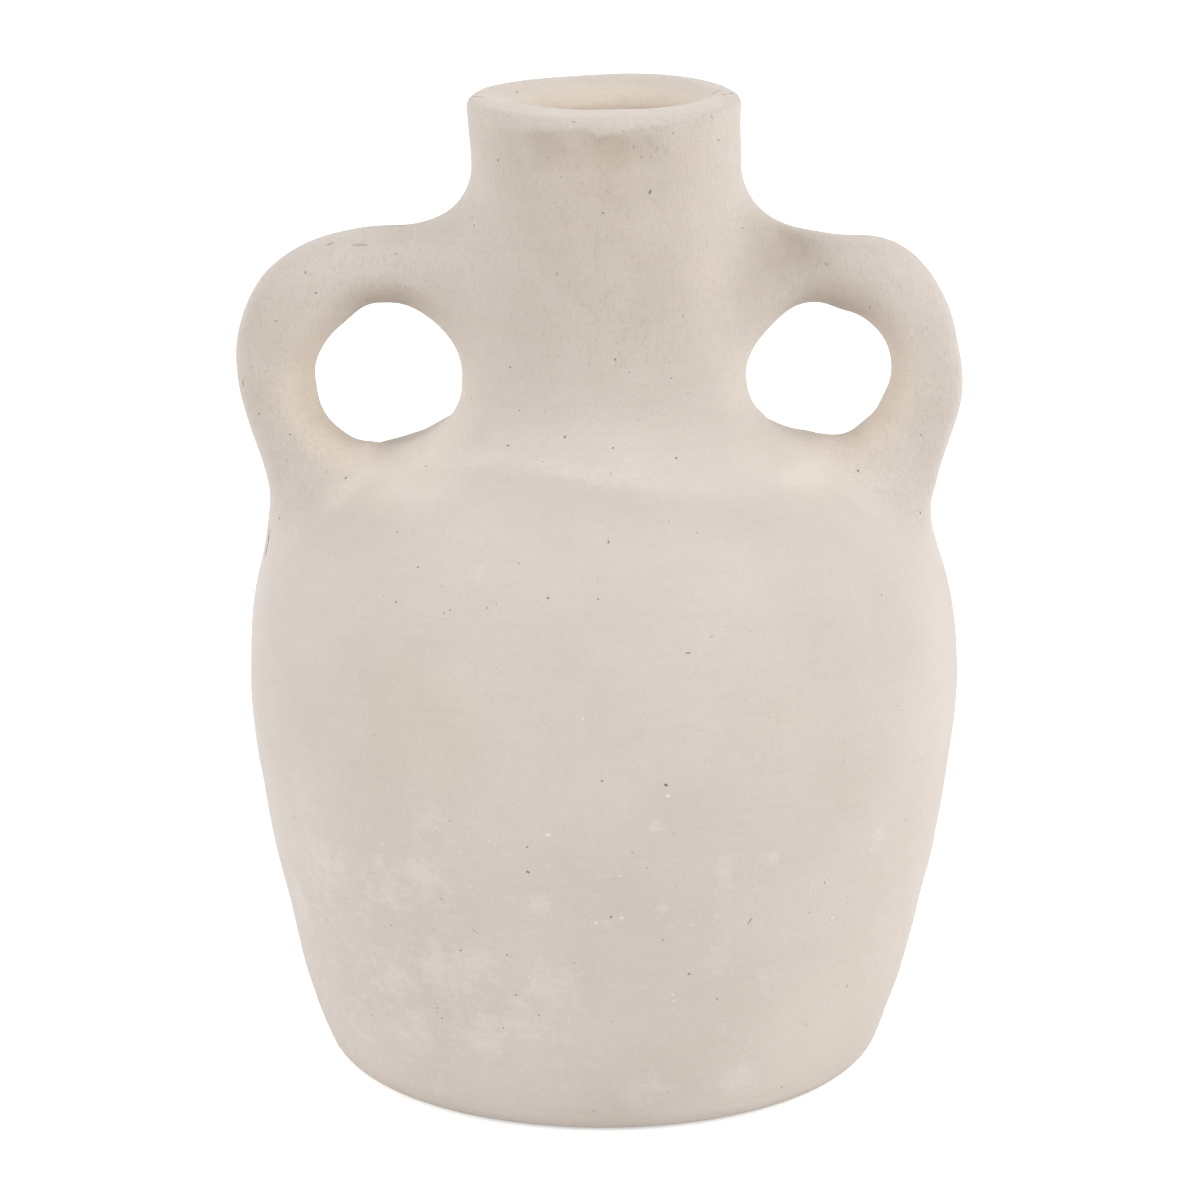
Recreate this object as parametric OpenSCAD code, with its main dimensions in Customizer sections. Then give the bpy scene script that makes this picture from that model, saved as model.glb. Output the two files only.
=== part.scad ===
// Two-handled vase of unglazed clay, luted together from pressed halves, a floor slab, rolled handles and coils.
// Millimetres, +Z up. The origin is the middle of the foot, and the handles lie along X.

/* [Body] */
// Overall height from the foot to the rim
height = 240; // [215:1:280]
// Diameter of the belly at its widest
belly_d = 175; // [150:1:200]
// Height of the widest place of the belly
belly_z = 96; // [80:1:110]
// Diameter of the flat that the vase stands on
foot_d = 123; // [100:1:135]
// Rounding at the edge of the foot
foot_edge = 8; // [5:0.5:11]
// Thickness of the belly and shoulder wall
wall = 9; // [6:0.5:11]
// Thickness of the floor slab
floor_t = 10; // [8:0.5:14]

/* [Shoulder] */
// Slope of the shoulder where it turns up into the neck, in degrees above level
shoulder_slope = 24; // [15:1:32]
// Radius of the hollow between shoulder and neck
neck_fillet = 14.5; // [8:0.5:20]

/* [Neck] */
// Height of the neck, from where the shoulder turns up into it to the rim
neck_h = 83.5; // [72:0.5:92]
// Diameter of the neck where it is narrowest, under the rim
neck_d = 64.8; // [58:0.2:76]
// How much the neck leans in on its way up, in degrees
neck_taper = 2.3; // [0.5:0.1:4]
// Depth of the rim band above the narrowest place
rim_h = 14; // [10:0.5:20]
// Diameter of the rim
rim_d = 66.2; // [60:0.2:78]
// Diameter of the mouth and the bore of the neck
mouth_d = 46; // [36:0.5:50]
// Rounding of the rim's two edges
lip_round = 2.5; // [2:0.1:6]

/* [Left handle] */
// How far the left handle stands out past the belly
left_overhang = 1.5; // [-4:0.1:5]
// Height of the left handle's top run above the shoulder
left_rise = 42.9; // [38:0.1:48]
// Thickness of the left handle
left_thick = 18.8; // [14:0.1:20]
// Thickness of the left handle in the middle of its bend
left_bend_thick = 21.6; // [14:0.1:24]
// Bend radius of the left handle, along its middle
left_bend = 25; // [18:0.5:30]
// How much the left handle's leg leans in, in degrees
left_lean = 12; // [8:0.5:20]

/* [Right handle] */
// How far the right handle stands out past the belly
right_overhang = -0.5; // [-4:0.1:5]
// Height of the right handle's top run above the shoulder
right_rise = 42.3; // [38:0.1:48]
// Thickness of the right handle
right_thick = 17; // [14:0.1:20]
// Thickness of the right handle in the middle of its bend
right_bend_thick = 18.8; // [14:0.1:24]
// Bend radius of the right handle, along its middle
right_bend = 25.5; // [18:0.5:30]
// How much the right handle's leg leans in, in degrees
right_lean = 11.5; // [8:0.5:20]

/* [Luting] */
// Spread of the wads on the loop side of each handle
loop_spread = 17; // [10:0.5:20]
// Spread of the upper wads above the handle's top run
neck_spread = 15.5; // [8:0.5:18]
// Spread of the lower wads on the outer side of the leg
shoulder_spread = 9; // [6:0.5:13]
// Thickness of a wad at its thin edges
wad_edge = 0.6; // [0.4:0.1:1.5]
// Slip left between a wad and what it is pressed on
slip = 0.4; // [0.2:0.05:0.8]
// Leg of the coil pressed into the corner above the floor
floor_coil = 9; // [5:0.5:14]
// Width of the flattened coils behind the two seams, at the belly
seam_coil_w = 15; // [8:1:24]
// Thickness of the flattened coils behind the two seams
seam_coil_t = 3; // [2:0.5:5]

/* [Hidden] */
$fn = 96;

// Clay as fired, and the slightly warmer clay that the sponge never reached
clay = [0.835, 0.796, 0.757];
inner_clay = [0.824, 0.776, 0.725];

foot_r = foot_d / 2;
belly_r = belly_d / 2;
neck_r = neck_d / 2;
rim_r = rim_d / 2;
mouth_r = mouth_d / 2;
neck_z = height - rim_h;
shoulder_z = height - neck_h;
lip = min(lip_round, (rim_r - mouth_r) / 2 - 0.2);

// How far the foot's rounding turns before the belly takes over, in degrees
foot_turn = 66;
// Tangents of the belly curve from the foot up to the shoulder, as shares of the height or reach of their curve
foot_share = 0.153;
low_share = 0.285;
high_share = 0.711;
shoulder_share = 0.701;
// Points along one curve, and along one rounding
curve_steps = 14;
round_steps = 6;

function bezier(a, b, c, d, steps) =
    [for (i = [0:steps]) let (t = i / steps, u = 1 - t)
        u * u * u * a + 3 * u * u * t * b + 3 * u * t * t * c + t * t * t * d];
function arc(centre, radius, from, to, steps) =
    [for (i = [0:steps]) let (a = from + (to - from) * i / steps) centre + radius * [cos(a), sin(a)]];
function without_first(list) = [for (i = [1:len(list) - 1]) list[i]];
function reversed(list) = [for (i = [len(list) - 1:-1:0]) list[i]];
function by_height(list) = [for (p = list) [p.y, p.x]];

// The hollow between shoulder and neck touches the neck's straight side and the shoulder's slope
hollow_z = shoulder_z + neck_fillet * cos(shoulder_slope);
function neck_side(z) = neck_r + (neck_z - z) * tan(neck_taper);
hollow = [neck_side(hollow_z) + neck_fillet / cos(neck_taper), hollow_z];
crease = [hollow.x - neck_fillet * sin(shoulder_slope), shoulder_z];

// Outline of the outside, as radius and height, from the foot to the rim
foot_arc = arc([foot_r, foot_edge], foot_edge, -90, foot_turn - 90, round_steps);
foot_end = foot_arc[round_steps];
low_rise = belly_z - foot_end.y;
high_rise = shoulder_z - belly_z;
shoulder_pull = shoulder_share * (belly_r - crease.x);
belly_low = bezier(foot_end, foot_end + foot_share * low_rise * [cos(foot_turn), sin(foot_turn)],
                   [belly_r, belly_z - low_share * low_rise], [belly_r, belly_z], curve_steps);
belly_high = bezier([belly_r, belly_z], [belly_r, belly_z + high_share * high_rise],
                    crease + shoulder_pull * [cos(shoulder_slope), -sin(shoulder_slope)], crease, curve_steps);
neck_arc = arc(hollow, neck_fillet, 270 - shoulder_slope, 180 + neck_taper, round_steps);
lip_outer = arc([rim_r - lip, height - lip], lip, 0, 90, round_steps);
lip_inner = arc([mouth_r + lip, height - lip], lip, 90, 180, round_steps);
side = concat(belly_low, without_first(belly_high), without_first(neck_arc), [[neck_r, neck_z]], lip_outer);
function outer_r(z) = lookup(z, by_height(side));
function outer_slope(z) = outer_r(z + 0.5) - outer_r(z - 0.5);

// Outline of the inside: the belly and shoulder set in by the wall, then a straight slope to the neck's bore
belly = concat(belly_low, without_first(belly_high));
function along(list, i) = list[min(i + 1, len(list) - 1)] - list[max(i - 1, 0)];
function set_in(list, depth) =
    [for (i = [0:len(list) - 1]) let (d = along(list, i)) list[i] + depth * [-d.y, d.x] / norm(d)];
inside = set_in(belly, wall);
inside_end = inside[len(inside) - 1];
function inner_r(z) = lookup(z, by_height(inside));
function inside_from(z) = concat([[inner_r(z), z]], [for (p = inside) if (p.y > z) p]);
bore_z = inside_end.y + (inside_end.x - mouth_r) * tan(shoulder_slope);

// Floor: a slab that carries the foot's rounded edge, with the wall standing on its rim
module floor_slab() {
    edge = [for (p = without_first(belly_low)) if (p.y < floor_t) p];
    color(clay) rotate_extrude()
        polygon(concat([[0, 0]], foot_arc, edge, [[outer_r(floor_t), floor_t], [0, floor_t]]));
}

// One pressed half of the wall, from the floor slab to the rim, on the +Y side of the seam
module half_shell() {
    outside = concat([[outer_r(floor_t), floor_t]], [for (p = side) if (p.y > floor_t) p]);
    rotate_extrude(angle = 180)
        polygon(concat(outside, lip_inner, [[mouth_r, bore_z]], reversed(inside_from(floor_t))));
}
module rear_half() {
    color(clay) half_shell();
}
module front_half() {
    color(clay) rotate([0, 0, 180]) half_shell();
}

// Coil pressed into the corner between the floor and the wall
module floor_coil_ring() {
    top = floor_t + floor_coil;
    backing = concat([for (p = inside_from(floor_t)) if (p.y < top) p], [[inner_r(top), top]]);
    corner = backing[0];
    tip = backing[len(backing) - 1];
    toe = corner - [floor_coil, 0];
    face = bezier(tip, (tip + corner) / 2, (toe + corner) / 2, toe, round_steps);
    color(inner_clay) rotate_extrude() polygon(concat(backing, without_first(face)));
}

// Flattened coil pressed over a seam on the inside, from the floor coil to the shoulder
module seam_coil() {
    backing = inside_from(floor_t + floor_coil);
    turn = 2 * asin(seam_coil_w / 2 / (belly_r - wall));
    rotate([0, 0, -turn / 2]) rotate_extrude(angle = turn)
        polygon(concat(backing, reversed(set_in(backing, seam_coil_t))));
}
module seam_coil_right() {
    color(inner_clay) seam_coil();
}
module seam_coil_left() {
    color(inner_clay) rotate([0, 0, 180]) seam_coil();
}

// A handle as overhang, rise, thickness, thickness in the bend, bend radius and lean, laid out on the +X side
left = [left_overhang, left_rise, left_thick, left_bend_thick, left_bend, left_lean];
right = [right_overhang, right_rise, right_thick, right_bend_thick, right_bend, right_lean];
function bar_r(h) = h[2] / 2;
function bend(h) = h[4];
function lean(h) = h[5];
function run_z(h) = shoulder_z + h[1];
function bend_middle(h) = [belly_r + h[0] - bar_r(h) - bend(h), 0, run_z(h) - bend(h)];
// The straight ends of the bar: where each starts, the way it goes to the wall, and its outer side
function run_from(h) = bend_middle(h) + [0, 0, bend(h)];
run_way = [-1, 0, 0];
run_up = [0, 0, 1];
function leg_from(h) = bend_middle(h) + bend(h) * leg_up(h);
function leg_way(h) = [-sin(lean(h)), 0, -cos(lean(h))];
function leg_up(h) = [cos(lean(h)), 0, -sin(lean(h))];
// Farthest that a straight end is followed to find the wall
function run_reach(h) = run_from(h).x;
function leg_reach(h) = (leg_from(h).z - belly_z) / cos(lean(h));

// Sides around a bar or a wad, and steps along a bend
bar_sides = 24;
bend_steps = 12;
across = [0, 1, 0];

function gap(p) = norm([p.x, p.y]) - outer_r(p.z) - slip;
function on_wall(p) = let (r = norm([p.x, p.y]), to = outer_r(p.z) + slip) [p.x * to / r, p.y * to / r, p.z];
function wall_normal(p) =
    let (r = norm([p.x, p.y]), n = [p.x / r, p.y / r, -outer_slope(p.z)]) n / norm(n);
function flat_on(v, n) = let (w = v - (v * n) * n) w / norm(w);
// Distance along a line at which it meets the slip on the wall, halving the reach until it is found
function meet(from, way, near, far, tries = 24) =
    let (mid = (near + far) / 2)
    tries == 0 ? mid
    : gap(from + mid * way) > 0 ? meet(from, way, mid, far, tries - 1) : meet(from, way, near, mid, tries - 1);
function landed(from, way, reach) = from + meet(from, way, 0, reach) * way;

// One ring of points around a bar's middle
function ring(middle, up, radius) =
    [for (i = [0:bar_sides - 1]) let (a = 360 * i / bar_sides) middle + radius * (cos(a) * up + sin(a) * across)];
function bend_ring(h, k) =
    let (a = 90 - (90 + lean(h)) * k / bend_steps,
         up = [cos(a), 0, sin(a)],
         swell = (h[3] / 2 - bar_r(h)) * pow(sin(180 * k / bend_steps), 2))
    ring(bend_middle(h) + bend(h) * up, up, bar_r(h) + swell);
// The bar's end is cut to fit the wall, from its rim in to its middle
function end_ring(from, way, up, radius, reach) = [for (p = ring(from, up, radius)) landed(p, way, reach)];

// Triangles between rows of points that close on themselves
function skin(rows, sides) =
    [for (k = [0:rows - 2], i = [0:sides - 1])
        let (a = k * sides + i, b = k * sides + (i + 1) % sides, c = a + sides, d = b + sides)
        each [[a, b, d], [a, d, c]]];

// Rolled bar: a level run out of the neck, one bend and a leg down to the shoulder
module handle(h) {
    rows = concat(
        [end_ring(run_from(h), run_way, run_up, bar_r(h) / 2, run_reach(h)),
         end_ring(run_from(h), run_way, run_up, bar_r(h), run_reach(h))],
        [for (k = [0:bend_steps]) bend_ring(h, k)],
        [end_ring(leg_from(h), leg_way(h), leg_up(h), bar_r(h), leg_reach(h)),
         end_ring(leg_from(h), leg_way(h), leg_up(h), bar_r(h) / 2, leg_reach(h))]);
    count = len(rows) * bar_sides;
    last = count - bar_sides;
    middles = [landed(run_from(h), run_way, run_reach(h)), landed(leg_from(h), leg_way(h), leg_reach(h))];
    caps = [for (i = [0:bar_sides - 1])
        each [[count, (i + 1) % bar_sides, i], [count + 1, last + i, last + (i + 1) % bar_sides]]];
    polyhedron(concat([for (r = rows) each r], middles), concat(skin(len(rows), bar_sides), caps));
}
module handle_right() {
    color(clay) handle(right);
}
module handle_left() {
    color(clay) mirror([1, 0, 0]) handle(left);
}

// A wad of clay is a collar in the corner between a bar's straight end and the wall. Each of its sections is a
// loop: the hollow outside, the wall it is pressed on, and the bar.
wad_steps = 6;
wall_steps = 3;
// Length of the tangents that make a curve nearly a quarter circle, as a share of its radius
round_share = 0.55;

function wad_section(start, way, out, reach, spread) =
    let (
        depth = meet(start, way, 0, reach),
        root = start + depth * way,
        toe = on_wall(root + spread * flat_on(out, wall_normal(root))),
        rise = min(spread, depth),
        top = root - rise * way,
        top_edge = top + wad_edge * out,
        normal = wall_normal(toe),
        toe_edge = toe + wad_edge * normal,
        face = bezier(top_edge, top_edge + round_share * rise * way,
                      toe_edge + round_share * spread * flat_on(root - toe, normal), toe_edge, wad_steps),
        pressed = [for (i = [0:wall_steps]) on_wall(toe + (root - toe) * i / wall_steps)]
    )
    concat([top], face, pressed);

module wad(from, way, up, radius, reach, spread_up, spread_down) {
    sections = [for (i = [0:bar_sides - 1])
        let (a = 360 * i / bar_sides,
             out = cos(a) * up + sin(a) * cross(way, up),
             spread = spread_down + (spread_up - spread_down) * (1 + cos(a)) / 2)
        wad_section(from + (radius + slip) * out, way, out, reach, spread)];
    closed = concat(sections, [sections[0]]);
    sides = len(sections[0]);
    count = bar_sides * sides;
    polyhedron([for (s = sections) each s], [for (t = skin(len(closed), sides)) [for (id = t) id % count]]);
}

// Upper wad, around the level run where it leaves the neck
module neck_wad(h) {
    wad(run_from(h), run_way, run_up, bar_r(h), run_reach(h), neck_spread, loop_spread);
}
module neck_wad_right() {
    color(clay) neck_wad(right);
}
module neck_wad_left() {
    color(clay) mirror([1, 0, 0]) neck_wad(left);
}

// Lower wad, around the leg where it lands on the shoulder
module shoulder_wad(h) {
    wad(leg_from(h), leg_way(h), leg_up(h), bar_r(h), leg_reach(h), shoulder_spread, loop_spread);
}
module shoulder_wad_right() {
    color(clay) shoulder_wad(right);
}
module shoulder_wad_left() {
    color(clay) mirror([1, 0, 0]) shoulder_wad(left);
}

floor_slab();
front_half();
rear_half();
floor_coil_ring();
seam_coil_left();
seam_coil_right();
handle_left();
handle_right();
neck_wad_left();
neck_wad_right();
shoulder_wad_left();
shoulder_wad_right();
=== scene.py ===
import math

import bmesh
import bpy
import numpy as np
from mathutils import Matrix, Vector
from mathutils.bvhtree import BVHTree


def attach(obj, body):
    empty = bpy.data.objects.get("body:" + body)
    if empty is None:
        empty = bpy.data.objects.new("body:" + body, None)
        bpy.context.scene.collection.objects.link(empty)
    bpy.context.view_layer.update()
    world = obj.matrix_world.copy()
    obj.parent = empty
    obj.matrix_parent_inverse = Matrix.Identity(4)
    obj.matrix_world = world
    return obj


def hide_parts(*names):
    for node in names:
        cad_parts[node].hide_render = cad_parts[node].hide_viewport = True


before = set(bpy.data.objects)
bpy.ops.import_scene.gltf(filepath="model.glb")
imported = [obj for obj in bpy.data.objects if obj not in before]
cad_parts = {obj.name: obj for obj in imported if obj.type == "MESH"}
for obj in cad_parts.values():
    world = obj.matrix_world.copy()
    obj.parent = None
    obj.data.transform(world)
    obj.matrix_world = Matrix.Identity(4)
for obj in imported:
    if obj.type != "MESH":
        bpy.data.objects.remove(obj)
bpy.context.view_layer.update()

MM = 0.001
PHOTO_PIXELS = 1200
# Points nearer than this, in metres, are one
TOUCHING = 1e-6
# Least distance from an axis or middle that is divided by
LEAST_R = 1.0

# Vessel
HEIGHT = 240.0
BELLY_R = 87.5
BELLY_Z = 96.0
FOOT_R = 61.5
FOOT_EDGE = 8.0
FOOT_TURN = 66.0
WALL = 9.0
FLOOR_T = 10.0
NECK_H = 83.5
SHOULDER_Z = HEIGHT - NECK_H
SHOULDER_SLOPE = 24.0
NECK_FILLET = 14.5
NECK_R = 32.4
NECK_TAPER = 2.3
RIM_H = 14.0
NECK_Z = HEIGHT - RIM_H
NECK_EASE = 12.0
RIM_R = 33.1
MOUTH_R = 23.0
LIP_OUTER = 2.3
LIP = 2.6
# Tangents of the belly curve, as shares of the height or reach of their curve
FOOT_SHARE = 0.153
LOW_SHARE = 0.285
HIGH_SHARE = 0.711
SHOULDER_SHARE = 0.701
# Coils inside
FLOOR_COIL = 9.0
SEAM_COIL_W = 15.0
SEAM_COIL_T = 3.0

# Handles: overhang past the belly, rise above the shoulder, thickness, thickness in the bend, bend radius,
# lean of the leg, and spread of the clay above the root on the neck
LEFT_BAR = {"side": -1, "overhang": 1.5, "rise": 42.9, "thick": 18.8, "bend_thick": 21.6, "bend": 25.0,
            "lean": 12.0, "neck_spread": 15.0}
RIGHT_BAR = {"side": 1, "overhang": -0.5, "rise": 42.3, "thick": 17.0, "bend_thick": 18.8, "bend": 25.5,
             "lean": 11.5, "neck_spread": 15.5}
# A rolled bar pressed a little square, and a little deeper than thick
SQUARENESS = 2.7
BAR_DEPTH = 1.06
# Spread of the smeared wads on the loop side and outside the leg
LOOP_SPREAD = 19.0
SHOULDER_SPREAD = 9.0
ROUND_SHARE = 0.55
# How far hidden sides and bar ends are sunk into the wall
SUNK = 1.2
BAR_SUNK = 4.0
# Where a wad's hidden side is pressed to the wall, as shares of the way to its root, and how far under its
# upper edge it is tucked into the bar
PRESSED_SHARES = (0.35, 0.7)
WAD_TUCK = 0.5

# Spacing of mesh points on the outside, on the rim, round the lip, inside and along the seam strips
OUTSIDE_STEP = 1.15
RIM_STEP = 0.55
LIP_STEP = 0.7
INSIDE_STEP = 3.0
STRIP_STEP = 2.0
# Height above which the outside is made finer, for the worked rim
RIM_FINE_Z = 222.0
# Spacing on the line that the wall is measured by, and the least step of a cut line
FINE_STEP = 0.25
LEAST_STEP = 0.05
# Steps of a half turn and of a seam strip's width
HALF_STEPS = 240
STRIP_STEPS = 12
# Steps of arcs and curves in the outlines
ARC_STEPS = 24
BELLY_STEPS = 80
RIM_CURVE_STEPS = 40
COIL_STEPS = 10
# Points and sides of bars and wads
RUN_POINTS = 24
BEND_POINTS = 64
LEG_POINTS = 28
BAR_SIDES = 72
WAD_SIDES = 120
WAD_STEPS = 26
# Radius of the rail that sections are turned on, and a full turn
RAIL = 10.0
FULL_TURN = 360.0
# A swept section leans by half a step at its two ends, so points this many steps off the seams are set back
LEAN_STEPS = 0.6
# Longest line cast at the wall, and how often it is halved
LINE_REACH = 70.0
HALVINGS = 30


def bezier(a, b, c, d, steps):
    t = np.linspace(0, 1, steps + 1)[:, None]
    u = 1 - t
    a, b, c, d = (np.asarray(p, float) for p in (a, b, c, d))
    return u ** 3 * a + 3 * u * u * t * b + 3 * u * t * t * c + t ** 3 * d


def arc(centre, radius, start, end):
    turn = np.radians(np.linspace(start, end, ARC_STEPS + 1))
    return np.asarray(centre) + radius * np.column_stack([np.cos(turn), np.sin(turn)])


def evenly(line, spacing):
    # The same line, with its points about a set distance apart
    way = np.concatenate([[0], np.cumsum(np.hypot(*np.diff(line, axis=0).T))])
    at = np.linspace(0, way[-1], max(2, round(way[-1] / spacing) + 1))
    return np.column_stack([np.interp(at, way, line[:, k]) for k in (0, 1)])


def smooth(value, low, high):
    # 0 below the start of a fade, 1 above its end
    t = np.clip((value - low) / (high - low), 0, 1)
    return t * t * (3 - 2 * t)


def unit(v):
    return v / np.linalg.norm(v, axis=-1, keepdims=True)


def blob(points, centre, width):
    # 1 at a place, fading out all round it
    return np.exp(-((points - centre) ** 2).sum(axis=1) / width ** 2)


def set_in(line, depth):
    along = np.gradient(line, axis=0)
    return line + depth * unit(np.column_stack([-along[:, 1], along[:, 0]]))


def radius_at(line, z):
    return np.interp(z, line[:, 1], line[:, 0])


def cut_below(line, z):
    # The part of a rising line above a height, starting exactly on it
    return np.vstack([[[radius_at(line, z), z]], line[line[:, 1] > z + LEAST_STEP]])


# Outline of the outside, as radius and height
slope = math.radians(SHOULDER_SLOPE)
taper = math.radians(NECK_TAPER)
hollow_z = SHOULDER_Z + NECK_FILLET * math.cos(slope)
neck_side = NECK_R + (NECK_Z - hollow_z) * math.tan(taper)
hollow = np.array([neck_side + NECK_FILLET / math.cos(taper), hollow_z])
crease = np.array([hollow[0] - NECK_FILLET * math.sin(slope), SHOULDER_Z])
foot_arc = arc((FOOT_R, FOOT_EDGE), FOOT_EDGE, -90, FOOT_TURN - 90)
foot_end = foot_arc[-1]
low_rise = BELLY_Z - foot_end[1]
foot_way = np.array([math.cos(math.radians(FOOT_TURN)), math.sin(math.radians(FOOT_TURN))])
shoulder_way = np.array([math.cos(slope), -math.sin(slope)])
belly_low = bezier(foot_end, foot_end + FOOT_SHARE * low_rise * foot_way,
                   (BELLY_R, BELLY_Z - LOW_SHARE * low_rise), (BELLY_R, BELLY_Z), BELLY_STEPS)
belly_high = bezier((BELLY_R, BELLY_Z), (BELLY_R, BELLY_Z + HIGH_SHARE * (SHOULDER_Z - BELLY_Z)),
                    crease + SHOULDER_SHARE * (BELLY_R - crease[0]) * shoulder_way, crease, BELLY_STEPS)
neck_arc = arc(hollow, NECK_FILLET, 270 - SHOULDER_SLOPE, 180 + NECK_TAPER)
rim_start = np.array([RIM_R, HEIGHT - LIP_OUTER])
neck_to_rim = bezier(neck_arc[-1], (NECK_R, NECK_Z - NECK_EASE), (NECK_R, NECK_Z), rim_start, RIM_CURVE_STEPS)
lip_outer = arc((RIM_R - LIP_OUTER, HEIGHT - LIP_OUTER), LIP_OUTER, 0, 90)
lip_inner = arc((MOUTH_R + LIP, HEIGHT - LIP), LIP, 90, 180)
belly = np.vstack([belly_low, belly_high[1:]])
below_lip = np.vstack([foot_arc[:-1], belly, neck_arc[1:], neck_to_rim[1:]])
wall_fine = evenly(np.vstack([below_lip, lip_outer[1:]]), FINE_STEP)
wall_along = unit(np.gradient(wall_fine, axis=0))

# Outline of the inside
inside = set_in(belly, WALL)
bore_start = inside[-1][1] + (inside[-1][0] - MOUTH_R) * math.tan(slope)


def outer_r(z):
    return radius_at(wall_fine, z)


# Camera, as fitted to the outline
CAMERA_AWAY = 1200.0
CAMERA_UP = 447.7
CAMERA_PITCH = math.radians(15.52)
CAMERA_ASIDE = -0.87
FOCAL_PIXELS = 5043.1
SENSOR = 36.0
camera_at = np.array([CAMERA_ASIDE, -CAMERA_AWAY, CAMERA_UP])


def pixel_way(px, py):
    # The way a pixel of the photograph looks
    right = (px - PHOTO_PIXELS / 2) / FOCAL_PIXELS
    up = (PHOTO_PIXELS / 2 - py) / FOCAL_PIXELS
    c, s = math.cos(CAMERA_PITCH), math.sin(CAMERA_PITCH)
    return unit(np.array([right, c + up * s, up * c - s]))


# Clay worked by hand: its seed, and how fine the broadest and the finest wave of a wander are, as shares
HAND_SEED = 163
WAVE_SHARES = (0.7, 1.4)
draws = np.random.RandomState(HAND_SEED)


def make_waves(length, count):
    way = unit(draws.normal(size=(count, 3)))
    return {"way": way * (2 * np.pi / length) * draws.uniform(*WAVE_SHARES, (count, 1)),
            "start": draws.uniform(0, 2 * np.pi, count), "lift": unit(draws.normal(size=(count, 3)))}


def wave(points, waves):
    # A soft wander of about unit size, the same for every piece that shares a place
    angle = points @ waves["way"].T + waves["start"]
    return np.sin(angle) @ waves["lift"] * math.sqrt(2 / len(waves["start"]))


broad_waves = make_waves(length=90, count=14)
thumb_waves = make_waves(length=32, count=24)
finger_waves = make_waves(length=13, count=40)
crumb_waves = make_waves(length=2.2, count=60)


# Node trees


def add_node(tree, kind, sockets=None, **settings):
    # Adds a node, sets its properties, and links or fills its sockets
    node = tree.nodes.new(kind)
    for name, value in settings.items():
        setattr(node, name, value)
    for name, value in (sockets or {}).items():
        if isinstance(value, bpy.types.NodeSocket):
            tree.links.new(value, node.inputs[name])
        else:
            node.inputs[name].default_value = value
    return node


def start_tree(name, inputs):
    tree = bpy.data.node_groups.new(name, "GeometryNodeTree")
    tree.interface.new_socket("Geometry", in_out="INPUT", socket_type="NodeSocketGeometry")
    for label, kind in inputs.items():
        tree.interface.new_socket(label, in_out="INPUT", socket_type="NodeSocket" + kind)
    tree.interface.new_socket("Geometry", in_out="OUTPUT", socket_type="NodeSocketGeometry")
    return tree, tree.nodes.new("NodeGroupInput").outputs


def end_tree(tree, geometry, material):
    whole = add_node(tree, "GeometryNodeRealizeInstances", {"Geometry": geometry})
    clad = add_node(tree, "GeometryNodeSetMaterial", {"Geometry": whole.outputs[0], "Material": material})
    add_node(tree, "NodeGroupOutput", {"Geometry": clad.outputs[0]})


def turned_tree():
    # A section turned about the vessel's axis, as a former shapes a slab, a shell or a coil
    tree, given = start_tree("turned_clay", {"Start": "Float", "Sweep": "Float", "Sections": "Int",
                                             "Whole": "Bool", "Material": "Material"})
    rail = add_node(tree, "GeometryNodeCurveArc",
                    {"Resolution": given["Sections"], "Radius": RAIL * MM,
                     "Start Angle": given["Start"], "Sweep Angle": given["Sweep"]}, mode="RADIUS")
    ring = add_node(tree, "GeometryNodeSetSplineCyclic",
                    {"Geometry": rail.outputs["Curve"], "Cyclic": given["Whole"]})
    upright = add_node(tree, "GeometryNodeSetCurveNormal", {"Curve": ring.outputs[0]}, mode="Z_UP")
    swept = add_node(tree, "GeometryNodeCurveToMesh",
                     {"Curve": upright.outputs[0], "Profile Curve": given["Geometry"], "Fill Caps": True})
    joined = add_node(tree, "GeometryNodeMergeByDistance",
                      {"Geometry": swept.outputs[0], "Distance": TOUCHING})
    end_tree(tree, joined.outputs[0], given["Material"])
    return tree


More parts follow.
